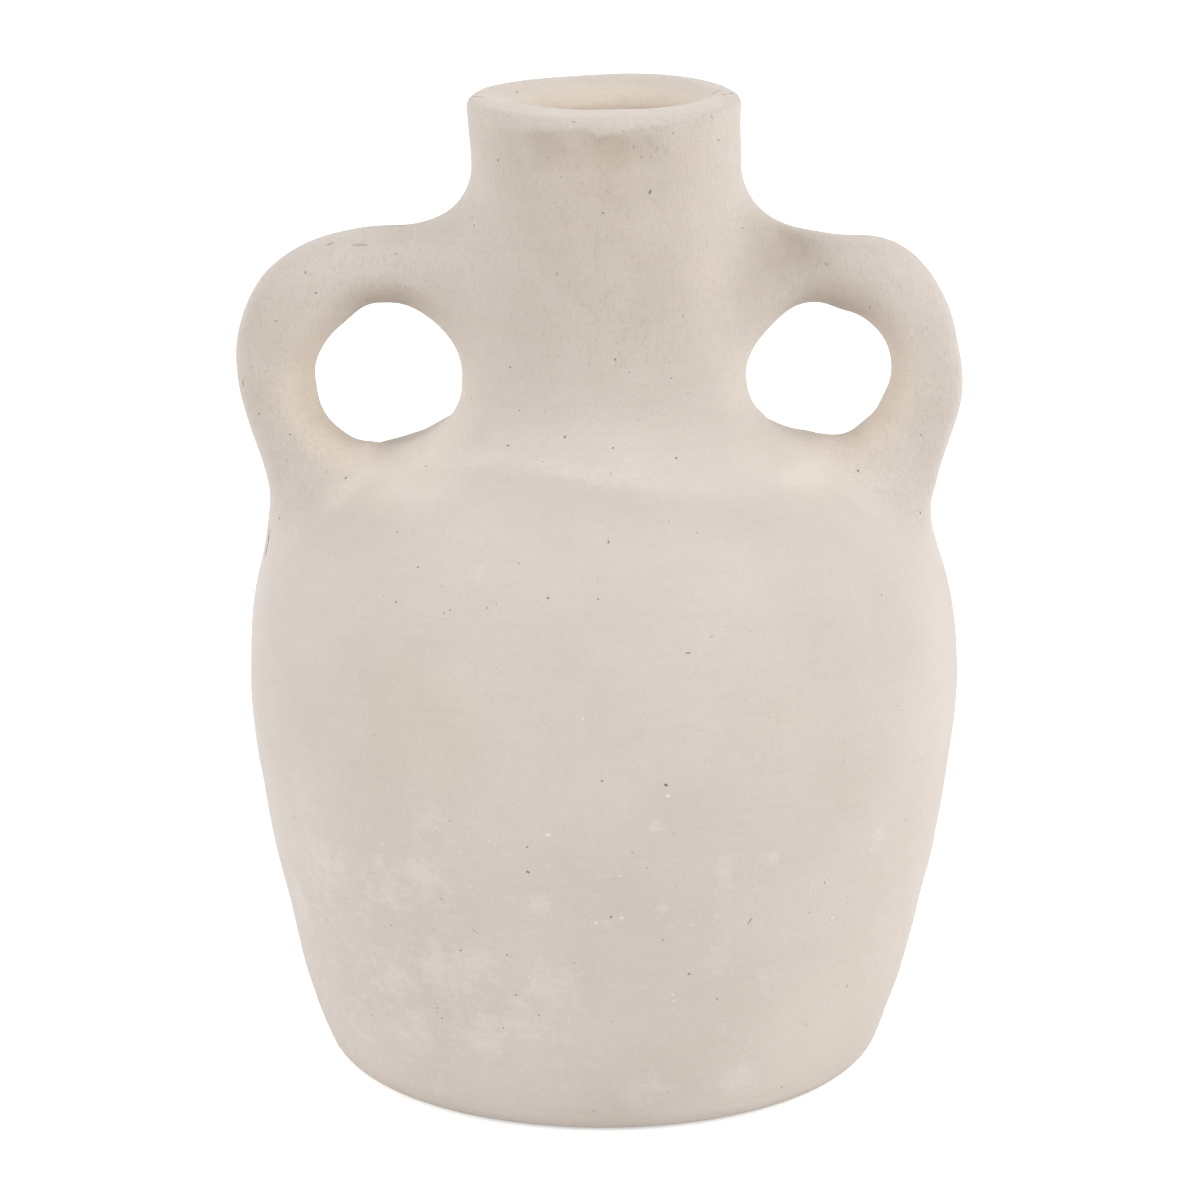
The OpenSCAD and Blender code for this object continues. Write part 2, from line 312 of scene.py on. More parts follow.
def rolled_tree():
    # A bar rolled round, pressed a little square and bent along its path
    tree, given = start_tree("rolled_clay", {"Sides": "Int", "Squareness": "Float", "Depth": "Float",
                                             "Material": "Material"})
    ring = add_node(tree, "GeometryNodeCurvePrimitiveCircle", {"Resolution": given["Sides"], "Radius": 1.0},
                    mode="RADIUS")
    at = add_node(tree, "GeometryNodeInputPosition").outputs[0]
    parts = add_node(tree, "ShaderNodeSeparateXYZ", {0: at})
    powers = []
    for axis in (0, 1):
        size = add_node(tree, "ShaderNodeMath", {0: parts.outputs[axis]}, operation="ABSOLUTE")
        power = add_node(tree, "ShaderNodeMath", {0: size.outputs[0], 1: given["Squareness"]},
                         operation="POWER")
        powers.append(power.outputs[0])
    both = add_node(tree, "ShaderNodeMath", {0: powers[0], 1: powers[1]}, operation="ADD")
    root = add_node(tree, "ShaderNodeMath", {0: -1.0, 1: given["Squareness"]}, operation="DIVIDE")
    reach = add_node(tree, "ShaderNodeMath", {0: both.outputs[0], 1: root.outputs[0]}, operation="POWER")
    squared = add_node(tree, "ShaderNodeVectorMath", {0: at, "Scale": reach.outputs[0]}, operation="SCALE")
    deep = add_node(tree, "ShaderNodeCombineXYZ", {0: given["Depth"], 1: 1.0, 2: 1.0})
    shaped = add_node(tree, "ShaderNodeVectorMath", {0: squared.outputs[0], 1: deep.outputs[0]},
                      operation="MULTIPLY")
    section = add_node(tree, "GeometryNodeSetPosition",
                       {"Geometry": ring.outputs[0], "Position": shaped.outputs[0]})
    thick = add_node(tree, "GeometryNodeInputRadius")
    flat = add_node(tree, "GeometryNodeSetCurveNormal", {"Curve": given["Geometry"], "Normal": (0, 1, 0)},
                    mode="FREE")
    swept = add_node(tree, "GeometryNodeCurveToMesh",
                     {"Curve": flat.outputs[0], "Profile Curve": section.outputs[0],
                      "Scale": thick.outputs[0], "Fill Caps": True})
    end_tree(tree, swept.outputs[0], given["Material"])
    return tree


# Scattered grains: how much more often small ones come, their leanest and fullest shape as length, width and
# height for a size of 1, and the seeds of their shape, turn and tone
SMALL_OFTEN = 3.0
LEAN_GRAIN = (0.8, 0.5, 0.14)
FULL_GRAIN = (1.6, 0.9, 0.22)
SHAPE_SEED = 5
TURN_SEED = 7
TONE_SEED = 9


def speck_tree():
    # Grains scattered over the outside, small ones most often, sunk nearly level with it
    tree, given = start_tree("speck_scatter", {"Density": "Float", "Smallest": "Float", "Largest": "Float",
                                               "Seed": "Int", "Material": "Material"})
    where = add_node(tree, "GeometryNodeInputNamedAttribute", {"Name": "scatter"}, data_type="FLOAT")
    often = add_node(tree, "ShaderNodeMath", {0: where.outputs[0], 1: given["Density"]}, operation="MULTIPLY")
    spread = add_node(tree, "GeometryNodeDistributePointsOnFaces",
                      {"Mesh": given["Geometry"], "Density": often.outputs[0], "Seed": given["Seed"]},
                      distribute_method="RANDOM")
    grain = add_node(tree, "GeometryNodeMeshIcoSphere", {"Radius": 1.0, "Subdivisions": 1})
    draw = add_node(tree, "FunctionNodeRandomValue", {2: 0.0, 3: 1.0, 8: given["Seed"]}, data_type="FLOAT")
    skewed = add_node(tree, "ShaderNodeMath", {0: draw.outputs[1], 1: SMALL_OFTEN}, operation="POWER")
    size = add_node(tree, "ShaderNodeMapRange",
                    {0: skewed.outputs[0], 1: 0.0, 2: 1.0, 3: given["Smallest"], 4: given["Largest"]})
    shape = add_node(tree, "FunctionNodeRandomValue", {0: LEAN_GRAIN, 1: FULL_GRAIN, 8: SHAPE_SEED},
                     data_type="FLOAT_VECTOR")
    scale = add_node(tree, "ShaderNodeVectorMath", {0: shape.outputs[0], "Scale": size.outputs[0]},
                     operation="SCALE")
    turn = add_node(tree, "FunctionNodeRandomValue", {2: 0.0, 3: 2 * math.pi, 8: TURN_SEED},
                    data_type="FLOAT")
    spin = add_node(tree, "FunctionNodeAxisAngleToRotation", {"Axis": (0, 0, 1), "Angle": turn.outputs[1]})
    laid = add_node(tree, "FunctionNodeRotateRotation",
                    {"Rotation": spread.outputs["Rotation"], "Rotate By": spin.outputs[0]},
                    rotation_space="LOCAL")
    grains = add_node(tree, "GeometryNodeInstanceOnPoints",
                      {"Points": spread.outputs["Points"], "Instance": grain.outputs[0],
                       "Rotation": laid.outputs[0], "Scale": scale.outputs[0]})
    shade = add_node(tree, "FunctionNodeRandomValue", {2: 0.0, 3: 1.0, 8: TONE_SEED}, data_type="FLOAT")
    toned = add_node(tree, "GeometryNodeStoreNamedAttribute",
                     {"Geometry": grains.outputs[0], "Name": "tone", "Value": shade.outputs[1]},
                     data_type="FLOAT", domain="INSTANCE")
    end_tree(tree, toned.outputs[0], given["Material"])
    return tree


turned_clay = turned_tree()
rolled_clay = rolled_tree()
speck_scatter = speck_tree()


def grow(data, tree, values):
    # Runs a tree on a curve or mesh and returns the plain mesh that it makes
    maker = bpy.data.objects.new(tree.name + "_maker", data)
    bpy.context.collection.objects.link(maker)
    modifier = maker.modifiers.new(tree.name, "NODES")
    modifier.node_group = tree
    for item in tree.interface.items_tree:
        if item.in_out == "INPUT" and item.name in values:
            modifier[item.identifier] = values[item.name]
    made = maker.evaluated_get(bpy.context.evaluated_depsgraph_get())
    mesh = bpy.data.meshes.new_from_object(made)
    bpy.data.objects.remove(maker)
    return mesh


def curve_of(points, radii=None, closed=False):
    curve = bpy.data.curves.new("line", "CURVE")
    curve.dimensions = "3D"
    spline = curve.splines.new("POLY")
    spline.points.add(len(points) - 1)
    spline.points.foreach_set("co", np.column_stack([points * MM, np.ones(len(points))]).ravel())
    if radii is not None:
        spline.points.foreach_set("radius", radii * MM)
    spline.use_cyclic_u = closed
    return curve


def points_of(mesh):
    flat = np.empty(len(mesh.vertices) * 3)
    mesh.vertices.foreach_get("co", flat)
    return flat.reshape(-1, 3) / MM


def turned(line, material, start=0.0, sweep=FULL_TURN, steps=2 * HALF_STEPS):
    # On the rail, a section's first axis points outwards and its second one down
    section = np.column_stack([line[:, 0] - RAIL, -line[:, 1], np.zeros(len(line))])
    whole = sweep == FULL_TURN
    sections = steps if whole else steps + 1
    mesh = grow(curve_of(section, closed=True), turned_clay,
                {"Start": math.radians(start), "Sweep": math.radians(sweep) * (sections - 1) / steps,
                 "Sections": sections, "Whole": whole, "Material": material})
    # Leaning ends are set back in the plane of the seams, so that the halves meet exactly
    points = points_of(mesh)
    r = np.hypot(points[:, 0], points[:, 1])
    leaning = np.abs(points[:, 1]) < r * math.sin(LEAN_STEPS * math.pi / HALF_STEPS)
    points[leaning, 0] = np.sign(points[leaning, 0]) * r[leaning]
    points[leaning, 1] = 0
    mesh.vertices.foreach_set("co", (points * MM).ravel())
    return mesh


# Bars and wads, laid out on the +X side


def bar_lines(bar):
    # Places and ways of a bar's run, bend and leg
    lean = math.radians(bar["lean"])
    radius = bar["thick"] / 2
    middle = np.array([BELLY_R + bar["overhang"] - radius - bar["bend"], 0,
                       SHOULDER_Z + bar["rise"] - bar["bend"]])
    leg_up = np.array([math.cos(lean), 0, -math.sin(lean)])
    return {"radius": radius, "middle": middle, "lean": lean,
            "run_from": middle + [0, 0, bar["bend"]],
            "run_way": np.array([-1.0, 0, 0]),
            "run_up": np.array([0, 0, 1.0]),
            "leg_from": middle + bar["bend"] * leg_up,
            "leg_way": np.array([-math.sin(lean), 0, -math.cos(lean)]),
            "leg_up": leg_up}


def nearest(p):
    # The wall's outline point nearest to a place
    return np.argmin((wall_fine[:, 0] - math.hypot(p[0], p[1])) ** 2 + (wall_fine[:, 1] - p[2]) ** 2)


def around_axis(p, radial, up):
    r = math.hypot(p[0], p[1])
    return np.array([radial * p[0] / r, radial * p[1] / r, up])


def on_wall(p):
    return around_axis(p, *wall_fine[nearest(p)])


def wall_normal(p):
    along = wall_along[nearest(p)]
    return around_axis(p, along[1], -along[0])


def flat_on(v, normal):
    return unit(v - (v @ normal) * normal)


def meet(start, way):
    # Distance at which a line from outside meets the wall
    near = 0.0
    far = LINE_REACH
    for _ in range(HALVINGS):
        middle = (near + far) / 2
        p = start + middle * way
        if math.hypot(p[0], p[1]) > outer_r(p[2]):
            near = middle
        else:
            far = middle
    return near


def bar_path(bar):
    # A bar's middle line from the neck to the shoulder, and its radius along it
    lines = bar_lines(bar)
    run = meet(lines["run_from"], lines["run_way"]) + BAR_SUNK
    leg = meet(lines["leg_from"], lines["leg_way"]) + BAR_SUNK
    runs = [lines["run_from"] + d * lines["run_way"] for d in np.linspace(run, 0, RUN_POINTS)]
    turns = np.linspace(0, 1, BEND_POINTS)[1:-1]
    angles = math.pi / 2 - (math.pi / 2 + lines["lean"]) * turns
    bends = [lines["middle"] + bar["bend"] * np.array([math.cos(a), 0, math.sin(a)]) for a in angles]
    legs = [lines["leg_from"] + d * lines["leg_way"] for d in np.linspace(0, leg, LEG_POINTS)]
    path = np.array(runs + bends + legs)
    path[:, 0] *= bar["side"]
    radii = np.full(len(path), lines["radius"])
    radii[RUN_POINTS:-LEG_POINTS] += (bar["bend_thick"] - bar["thick"]) / 2 * np.sin(np.pi * turns) ** 2
    return path, radii


def wad_section(start, way, out, spread):
    depth = meet(start, way)
    root = start + depth * way
    root_normal = wall_normal(root)
    toe = on_wall(root + spread * flat_on(out, root_normal))
    normal = wall_normal(toe)
    rise = min(spread, depth)
    top = root - rise * way
    face = bezier(top, top + ROUND_SHARE * rise * way,
                  toe + ROUND_SHARE * spread * flat_on(root - toe, normal), toe, WAD_STEPS)
    pressed = [on_wall(toe + (root - toe) * t) - SUNK * t * root_normal for t in PRESSED_SHARES]
    corner = root - SUNK * root_normal - SUNK * out
    return np.vstack([face, pressed, [corner, top - SUNK * out + WAD_TUCK * way]])


def wad(bar, end, spread_up, spread_down):
    # A collar of clay smeared into the corner between a bar's end and the wall
    lines = bar_lines(bar)
    start, way, up = (lines[end + part] for part in ("_from", "_way", "_up"))
    side = np.cross(way, up)
    rings = []
    for a in np.linspace(0, 2 * math.pi, WAD_SIDES, endpoint=False):
        c, s = math.cos(a), math.sin(a)
        reach = (abs(c) ** SQUARENESS + abs(s / BAR_DEPTH) ** SQUARENESS) ** (-1 / SQUARENESS)
        out = c * up + s * side
        spread = spread_down + (spread_up - spread_down) * ((1 + c) / 2) ** 2
        rings.append(wad_section(start + lines["radius"] * reach * out, way, out, spread))
    points = np.vstack(rings)
    points[:, 0] *= bar["side"]
    count = len(rings[0])
    faces = []
    for i in range(WAD_SIDES):
        here, there = i * count, (i + 1) % WAD_SIDES * count
        for k in range(count):
            n = (k + 1) % count
            faces.append((here + k, there + k, there + n, here + n))
    mesh = bpy.data.meshes.new("wad")
    mesh.from_pydata((points * MM).tolist(), [], faces)
    return mesh


def surface_tree(meshes):
    # One tree for casting rays on several meshes
    points, faces = [], []
    for mesh in meshes:
        first = len(points)
        points += [Vector(p) for p in points_of(mesh) * MM]
        faces += [tuple(first + v for v in polygon.vertices) for polygon in mesh.polygons]
    return BVHTree.FromPolygons(points, faces)


def look(tree, px, py):
    # The place that a pixel of the photograph shows, in metres, and the way it faces
    place, facing, _, _ = tree.ray_cast(Vector(camera_at * MM), Vector(pixel_way(px, py)))
    return place, facing


def seen_at(tree, px, py):
    return np.array(look(tree, px, py)[0]) / MM


# How the hand departs from the turned form
# Drifts of the wall to one side: how far, at what height, over what height
DRIFTS = ((0.45, 45.0, 26.0), (-0.8, 134.0, 22.0), (1.0, 210.0, 22.0))
# Distance from the wall over which drifts end, and height over which the wander starts above the table
DRIFT_ENDS = (2.0, 14.0)
WANDER_STARTS = (0.0, 14.0)
BROAD_WANDER = 0.35
THUMB_WANDER = 0.13
FINGER_WANDER = 0.06
# The rim stands a little high and tilted, from this height up
TILT_FROM = 200.0
RIM_TILT = 0.002
RIM_LIFT = 0.6

# Lower edge of the clay smeared down from the neck and the handles, along the photograph's pixels
SMEAR_EDGE_PIXELS = ((332, 506), (352, 491), (384, 476), (440, 462), (504, 466), (560, 477), (592, 484),
                     (652, 490), (688, 496), (732, 496), (768, 490), (808, 484), (848, 499), (878, 522))
# How thick it is, how soft its edge, how much of it goes outwards and up, where above its edge it thins out
SMEAR_STEP = 0.42
SMEAR_SOFT = 1.2
SMEAR_OUT = 0.5
SMEAR_UP = 0.85
SMEAR_THINS = (2.0, 26.0)
# How much of it is wiped off on the right, and where
SMEAR_RIGHT_LOSS = 0.85
SMEAR_RIGHT = (20.0, 50.0)
# How far from the plane of the handles the front and the rear start, as shares of the radius
SIDES_END = (0.2, 0.5)


def above_smear(points):
    # Height above the lower edge of the smeared clay
    angle = np.abs(np.arctan2(points[:, 1], points[:, 0]))
    return points[:, 2] - np.interp(angle, smear_angles, smear_heights)


def off_sides(points):
    # Fades out towards the plane of the handles, where the collars of clay take over
    share = np.abs(points[:, 1]) / np.maximum(np.hypot(points[:, 0], points[:, 1]), LEAST_R)
    return smooth(share, *SIDES_END)


def smear(points, soft):
    # How much smeared clay lies at a place: full just above its lower edge, less upwards and to the right
    above = above_smear(points)
    share = off_sides(points) * (1 - SMEAR_RIGHT_LOSS * smooth(points[:, 0], *SMEAR_RIGHT))
    return smooth(above, -soft, soft) * (1 - smooth(above, *SMEAR_THINS)) * share


# Clay drawn down over the rim's outer edge: how thick, how far down, how ragged and how soft its end is, and
# the radii and heights where it starts
RIM_SKIN = 0.42
RIM_SKIN_DROP = 3.2
RIM_SKIN_RAGGED = 1.1
RIM_SKIN_SOFT = (-0.4, 0.5)
RIM_SKIN_RADII = (RIM_R - 5.0, RIM_R - 1.5)
RIM_SKIN_HEIGHTS = (220.0, 228.0)
# Waves round the rim that make the end ragged
skin_turns = np.array([2, 3, 5, 8, 13, 21, 34, 55, 89])
skin_starts = draws.uniform(0, 2 * np.pi, len(skin_turns))


def rim_skin(points):
    # Where the drawn clay lies
    x, y, z = points.T
    ragged = np.sin(np.arctan2(y, x)[:, None] * skin_turns + skin_starts) @ (1 / np.sqrt(skin_turns))
    above = z - (HEIGHT - RIM_SKIN_DROP) - RIM_SKIN_RAGGED * ragged
    outer = smooth(np.hypot(x, y), *RIM_SKIN_RADII) * smooth(z, *RIM_SKIN_HEIGHTS)
    return smooth(above, *RIM_SKIN_SOFT) * outer * off_sides(points)


# A mouth opened by the thumb: moved aside, drawn in, raised in front and worn down behind
MOUTH_ASIDE = 1.0
MOUTH_CLOSE = 0.03
MOUTH_FRONT_LIFT = 0.4
MOUTH_REAR_FLARE = 4.5
# How far round the mouth this reaches, over what way it fades in, at what heights, and where the front starts
MOUTH_ROUND = 7.0
MOUTH_FADE = 5.0
MOUTH_HEIGHTS = (212.0, 236.0)
MOUTH_FRONT = (-10.0, 8.0)
# Where the worn lip starts towards the rear, as shares of the radius, and at what heights
LIP_REAR = (-0.6, 0.8)
LIP_HEIGHTS = (216.0, 238.0)


def worn_lip(points):
    # How much the inner lip is worn down, most at the rear
    x, y, z = points.T
    r = np.hypot(x, y)
    behind = smooth(y / np.maximum(r, LEAST_R), *LIP_REAR)
    inwards = smooth(RIM_R - LIP_OUTER - r, 0.0, RIM_R - LIP_OUTER - MOUTH_R)
    return behind * inwards * smooth(z, *LIP_HEIGHTS)


def worked_mouth(points):
    x, y, z = points.T
    inner = smooth(MOUTH_R + MOUTH_ROUND - np.hypot(x, y), 0.0, MOUTH_FADE) * smooth(z, *MOUTH_HEIGHTS)
    raised = MOUTH_FRONT_LIFT * inner * smooth(-y, *MOUTH_FRONT)
    return np.column_stack([inner * (MOUTH_ASIDE - MOUTH_CLOSE * x), -inner * MOUTH_CLOSE * y,
                            raised - MOUTH_REAR_FLARE * worn_lip(points)])


# Torn, crumbly places: pixel of the photograph, width and height in millimetres
ROUGH_PIXELS = ((650, 143, 4.6, 0.18), (660, 150, 3.0, 0.15), (590, 131, 3.4, 0.14), (545, 123, 3.4, 0.1),
                (700, 122, 3.0, 0.08))


def roughness(points):
    return sum(height * blob(points, centre, width) for centre, width, height in rough_places)


# Where a thumb pressed the loops: the loop's middle across and up, then the angle of each press as seen from
# the front, its width, and how far the hole's edge or the outside moved away from the middle
LOOPS = (
    {"middle": (-52.6, 172.6),
     "hole": ((42, 28, -1.1), (125, 18, -1.0), (165, 22, -0.25), (203, 22, 0.6), (240, 20, -0.8),
              (257, 9, -0.5), (263, 8, -0.45), (290, 25, 1.5)),
     "outside": ((112, 30, -1.1), (222, 18, -1.8))},
    {"middle": (52.3, 173.4),
     "hole": ((25, 25, 0.6), (72, 15, -1.2), (140, 28, -1.2), (215, 25, -0.7), (226, 9, -0.5),
              (275, 13, -2.1), (302, 22, -3.3), (330, 10, -0.5)),
     "outside": ((58, 18, 1.4), (80, 12, -1.2), (108, 12, 1.0), (15, 15, -0.5), (345, 15, 1.1),
                 (312, 14, -0.8))},
)
HOLE_R = 17.5
# Distances from a loop's middle over which the hole's presses end, and the outside's ones start and end
HOLE_ENDS = (HOLE_R + 1, HOLE_R + 12)
OUTSIDE_STARTS = (HOLE_R + 6, HOLE_R + 16)
OUTSIDE_ENDS = (44.0, 60.0)


def from_middle(points, loop):
    # The way from a loop's middle as seen from the front, its length and its angle
    away = points[:, [0, 2]] - loop["middle"]
    return away, np.hypot(*away.T), np.degrees(np.arctan2(away[:, 1], away[:, 0]))


def near_angle(angle, at, width):
    # 1 at an angle, fading out to both sides of it
    turn = (angle - at + 180) % 360 - 180
    return np.exp(-(turn / width) ** 2)


def pressed_loops(points):
    move = np.zeros_like(points)
    for loop in LOOPS:
        away, far, angle = from_middle(points, loop)
        far = np.maximum(far, LEAST_R)
        near_hole = 1 - smooth(far, *HOLE_ENDS)
        near_outside = smooth(far, *OUTSIDE_STARTS) * (1 - smooth(far, *OUTSIDE_ENDS))
        for presses, share in ((loop["hole"], near_hole), (loop["outside"], near_outside)):
            for at, width, amount in presses:
                push = amount * share * near_angle(angle, at, width) / far
                move[:, [0, 2]] += push[:, None] * away
    return move


# Hollows pressed from the front: where across and up, how wide, how deep, and how far back they reach
THUMB_HOLLOWS = ((47.0, 202.0, 9.0, 2.6), (-47.0, 186.0, 8.0, 1.2), (66.0, 176.0, 8.0, 0.6),
                 (-72.0, 170.0, 9.0, 0.5))
HOLLOW_FRONT = (-2.0, 9.0)


def by_hand(points):
    # Moves every piece in one field, so that pieces which touch still touch
    p = points + pressed_loops(points)
    x, y, z = points.T
    for across, up, width, depth in THUMB_HOLLOWS:
        close = np.exp(-((x - across) ** 2 + (z - up) ** 2) / width ** 2)
        p[:, 1] += depth * close * smooth(-y, *HOLLOW_FRONT)
    near = 1 - smooth(np.hypot(x, y) - outer_r(z), *DRIFT_ENDS)
    for shift, height, spread in DRIFTS:
        p[:, 0] += shift * near * np.exp(-((z - height) / spread) ** 2)
    p[:, 2] += (RIM_TILT * x + RIM_LIFT) * smooth(z, TILT_FROM, HEIGHT)
    wander = (BROAD_WANDER * wave(points, broad_waves) + THUMB_WANDER * wave(points, thumb_waves)
              + FINGER_WANDER * wave(points, finger_waves))
    p += smooth(z, *WANDER_STARTS)[:, None] * wander
    lift = SMEAR_STEP * smear(points, SMEAR_SOFT) * near
    outwards = points[:, :2] / np.maximum(np.hypot(x, y), LEAST_R)[:, None]
    p[:, :2] += (SMEAR_OUT * lift + RIM_SKIN * rim_skin(points))[:, None] * outwards
    p[:, 2] += SMEAR_UP * lift
    p += worked_mouth(points) + roughness(points)[:, None] * wave(points, crumb_waves)
    return p


# Tints round the loops: which loop, angle seen from the front, its width, reach from the hole, how strong
LOOP_TINTS = {
    # Painted light round the holes' lower edges, where the loops shade the clay
    "smear": ((0, 300, 45, 12, 0.9), (0, 245, 40, 10, 0.8), (0, 345, 30, 8, 0.4), (1, 335, 40, 9, 0.5),
              (1, 235, 40, 7, 0.4), (1, 262, 28, 10, 0.9)),
    # Painted light on the holes' inner faces, lit from the side; on the neck the warm coat is the clay's
    # warmer tone
    "warm_tone_and_light": ((0, 200, 48, 12, 1.1), (1, 318, 45, 12, 0.6), (1, 5, 40, 12, 0.5), (1, 180, 40, 9, 0.3)),
    "shade": ((0, 88, 36, 10, 1.0), (1, 72, 42, 11, 1.0), (1, 297, 10, 6, 0.4)),
}
# Share of its reach over which such a tint is full
LOOP_TINT_FULL = 0.2
# Tints elsewhere: pixel of the photograph, width in millimetres, how strong
SKIN_TINTS = {
    "warm_tone_and_light": ((690, 150, 12, 0.4), (690, 200, 14, 0.35), (700, 270, 18, 0.35), (650, 240, 16, 0.25),
             (600, 170, 18, 0.3), (590, 130, 10, 0.3), (430, 720, 20, 0.15)),
    # Painted light on the shoulders where they face up, and low on the right of the belly
    "smear": ((390, 458, 6, 0.7), (372, 473, 5, 0.7), (353, 489, 5, 0.7), (338, 502, 4, 0.6),
              (812, 470, 10, 0.5), (765, 468, 14, 0.35), (850, 480, 9, 0.4), (355, 590, 16, 0.2),
              (790, 1040, 20, 0.3), (790, 720, 16, 0.25)),
    "shade": ((600, 140, 14, 1.25), (555, 136, 12, 1.1), (645, 140, 10, 0.45), (530, 160, 14, 0.5),
              (600, 175, 20, 0.75), (585, 220, 20, 0.6), (612, 280, 24, 0.5), (650, 205, 14, 0.4),
              (797, 247, 7, 1.2), (820, 242, 6, 0.2), (772, 256, 9, 0.9), (755, 272, 8, 0.7),
              (850, 300, 6, 0.4), (430, 290, 8, 0.25), (425, 474, 7, 0.3), (404, 499, 8, 0.2),
              (560, 740, 22, 0.12), (258, 330, 10, 0.3), (256, 400, 9, 0.3)),
    "pale": ((656, 826, 1.7, 1.5), (774, 857, 2.0, 1.4), (663, 908, 1.5, 1.4), (434, 966, 6.5, 0.75),
             (474, 963, 3.4, 0.8), (422, 878, 6.5, 0.65), (412, 1032, 6, 0.75), (540, 904, 3, 0.75),
             (428, 810, 5, 0.7), (524, 1022, 6, 0.7), (484, 1036, 6, 0.7), (386, 892, 5, 0.65),
             (390, 976, 6, 0.65), (728, 870, 7, 0.6), (780, 940, 4, 0.7), (714, 960, 5, 0.6),
             (762, 979, 4, 0.75), (734, 1078, 7, 0.75), (650, 1090, 6, 0.7), (874, 840, 5, 0.7),
             (556, 988, 7, 0.65), (728, 160, 5, 0.7), (730, 210, 5, 0.7), (480, 160, 5, 0.6),
             (412, 494, 3, 0.9), (480, 542, 2.6, 0.9), (480, 570, 3, 0.9), (344, 570, 4, 0.7),
             (296, 538, 4, 0.7), (640, 472, 8, 0.6), (690, 474, 7, 0.55), (300, 900, 6, 0.7),
             (320, 862, 7, 0.55)),
}
# Grains start above the table, and low lime ends on the belly
SPECKS_START = (1.0, 8.0)
LIME_ENDS = (55.0, 125.0)
# Low lime all round, more of it on the left, and where that starts
LIME_ROUND = 0.32
LIME_LEFT = 0.3
LIME_LEFT_STARTS = (-30.0, 50.0)
# Painted light in the bore starts this far under the rim, and above these heights
BORE_LIGHT_UNDER_RIM = (0.5, 4.0)
BORE_LIGHT_STARTS = (150.0, 190.0)
# Painted light on the smear and on the clay drawn over the rim, which face up, and how soft the smear's light
# starts
SMEAR_LIGHT = 0.3
RIM_SKIN_LIGHT = 0.05
SMEAR_LIGHT_SOFT = 2.5
# Shade under the smear's edge: how strong, and where it starts and ends below the edge
UNDER_SMEAR = 0.15
UNDER_SMEAR_STARTS = (-9.0, -1.0)
UNDER_SMEAR_ENDS = (-1.0, 0.5)
# How much of the tints the clay drawn over the rim hides, and where they end under the rim
RIM_SKIN_HIDES = 0.6
RIM_TINTS_END = (HEIGHT - 5.5, HEIGHT - 1.5)
# Painted highlight along the edge of the smear, where it turns up to the light: how far above it, how wide,
# how strong, where it starts on the left, and how much of it is missing on the right, and where
RIDGE_UP = 1.0
RIDGE_WIDTH = 2.2
RIDGE_HIGHLIGHT = 0.95
RIDGE_STARTS = (-44.0, -34.0)
RIDGE_RIGHT_LOSS = 0.6
RIDGE_RIGHT = (-4.0, 8.0)
# Pale lilac band down the left flank: how strong, how far in front of the seam, how wide, and the
# heights where it starts and ends
LEFT_FLANK_PALE = 0.68
LEFT_FLANK_AHEAD = 8.0
LEFT_FLANK_WIDTH = 17.0
LEFT_FLANK_STARTS = (10.0, 45.0)
LEFT_FLANK_ENDS = (125.0, 150.0)
# Scuffs start on the neck above these heights, and on the handles this far off the wall
SCUFFS_START = (160.0, 190.0)
SCUFFS_OFF_WALL = (1.0, 4.0)
# Edges bent by more than this stay sharp
SHARP_ANGLE = math.radians(38)


def tints_of(points):
    # Tints that the photograph shows one by one, round the loops and elsewhere
    tints = {label: np.zeros(len(points)) for label in SKIN_TINTS}
    # Many of these tints are painted light and painted shade
    for label, presses in LOOP_TINTS.items():
        for which, at, width, reach, strength in presses:
            _, far, angle = from_middle(points, LOOPS[which])
            close = 1 - smooth(far, HOLE_R + LOOP_TINT_FULL * reach, HOLE_R + reach)
            tints[label] = np.maximum(tints[label], strength * near_angle(angle, at, width) * close)
    for label, places in skin_tints.items():
        for centre, width, strength in places:
            tints[label] = np.maximum(tints[label], strength * blob(points, centre, width))
    return tints


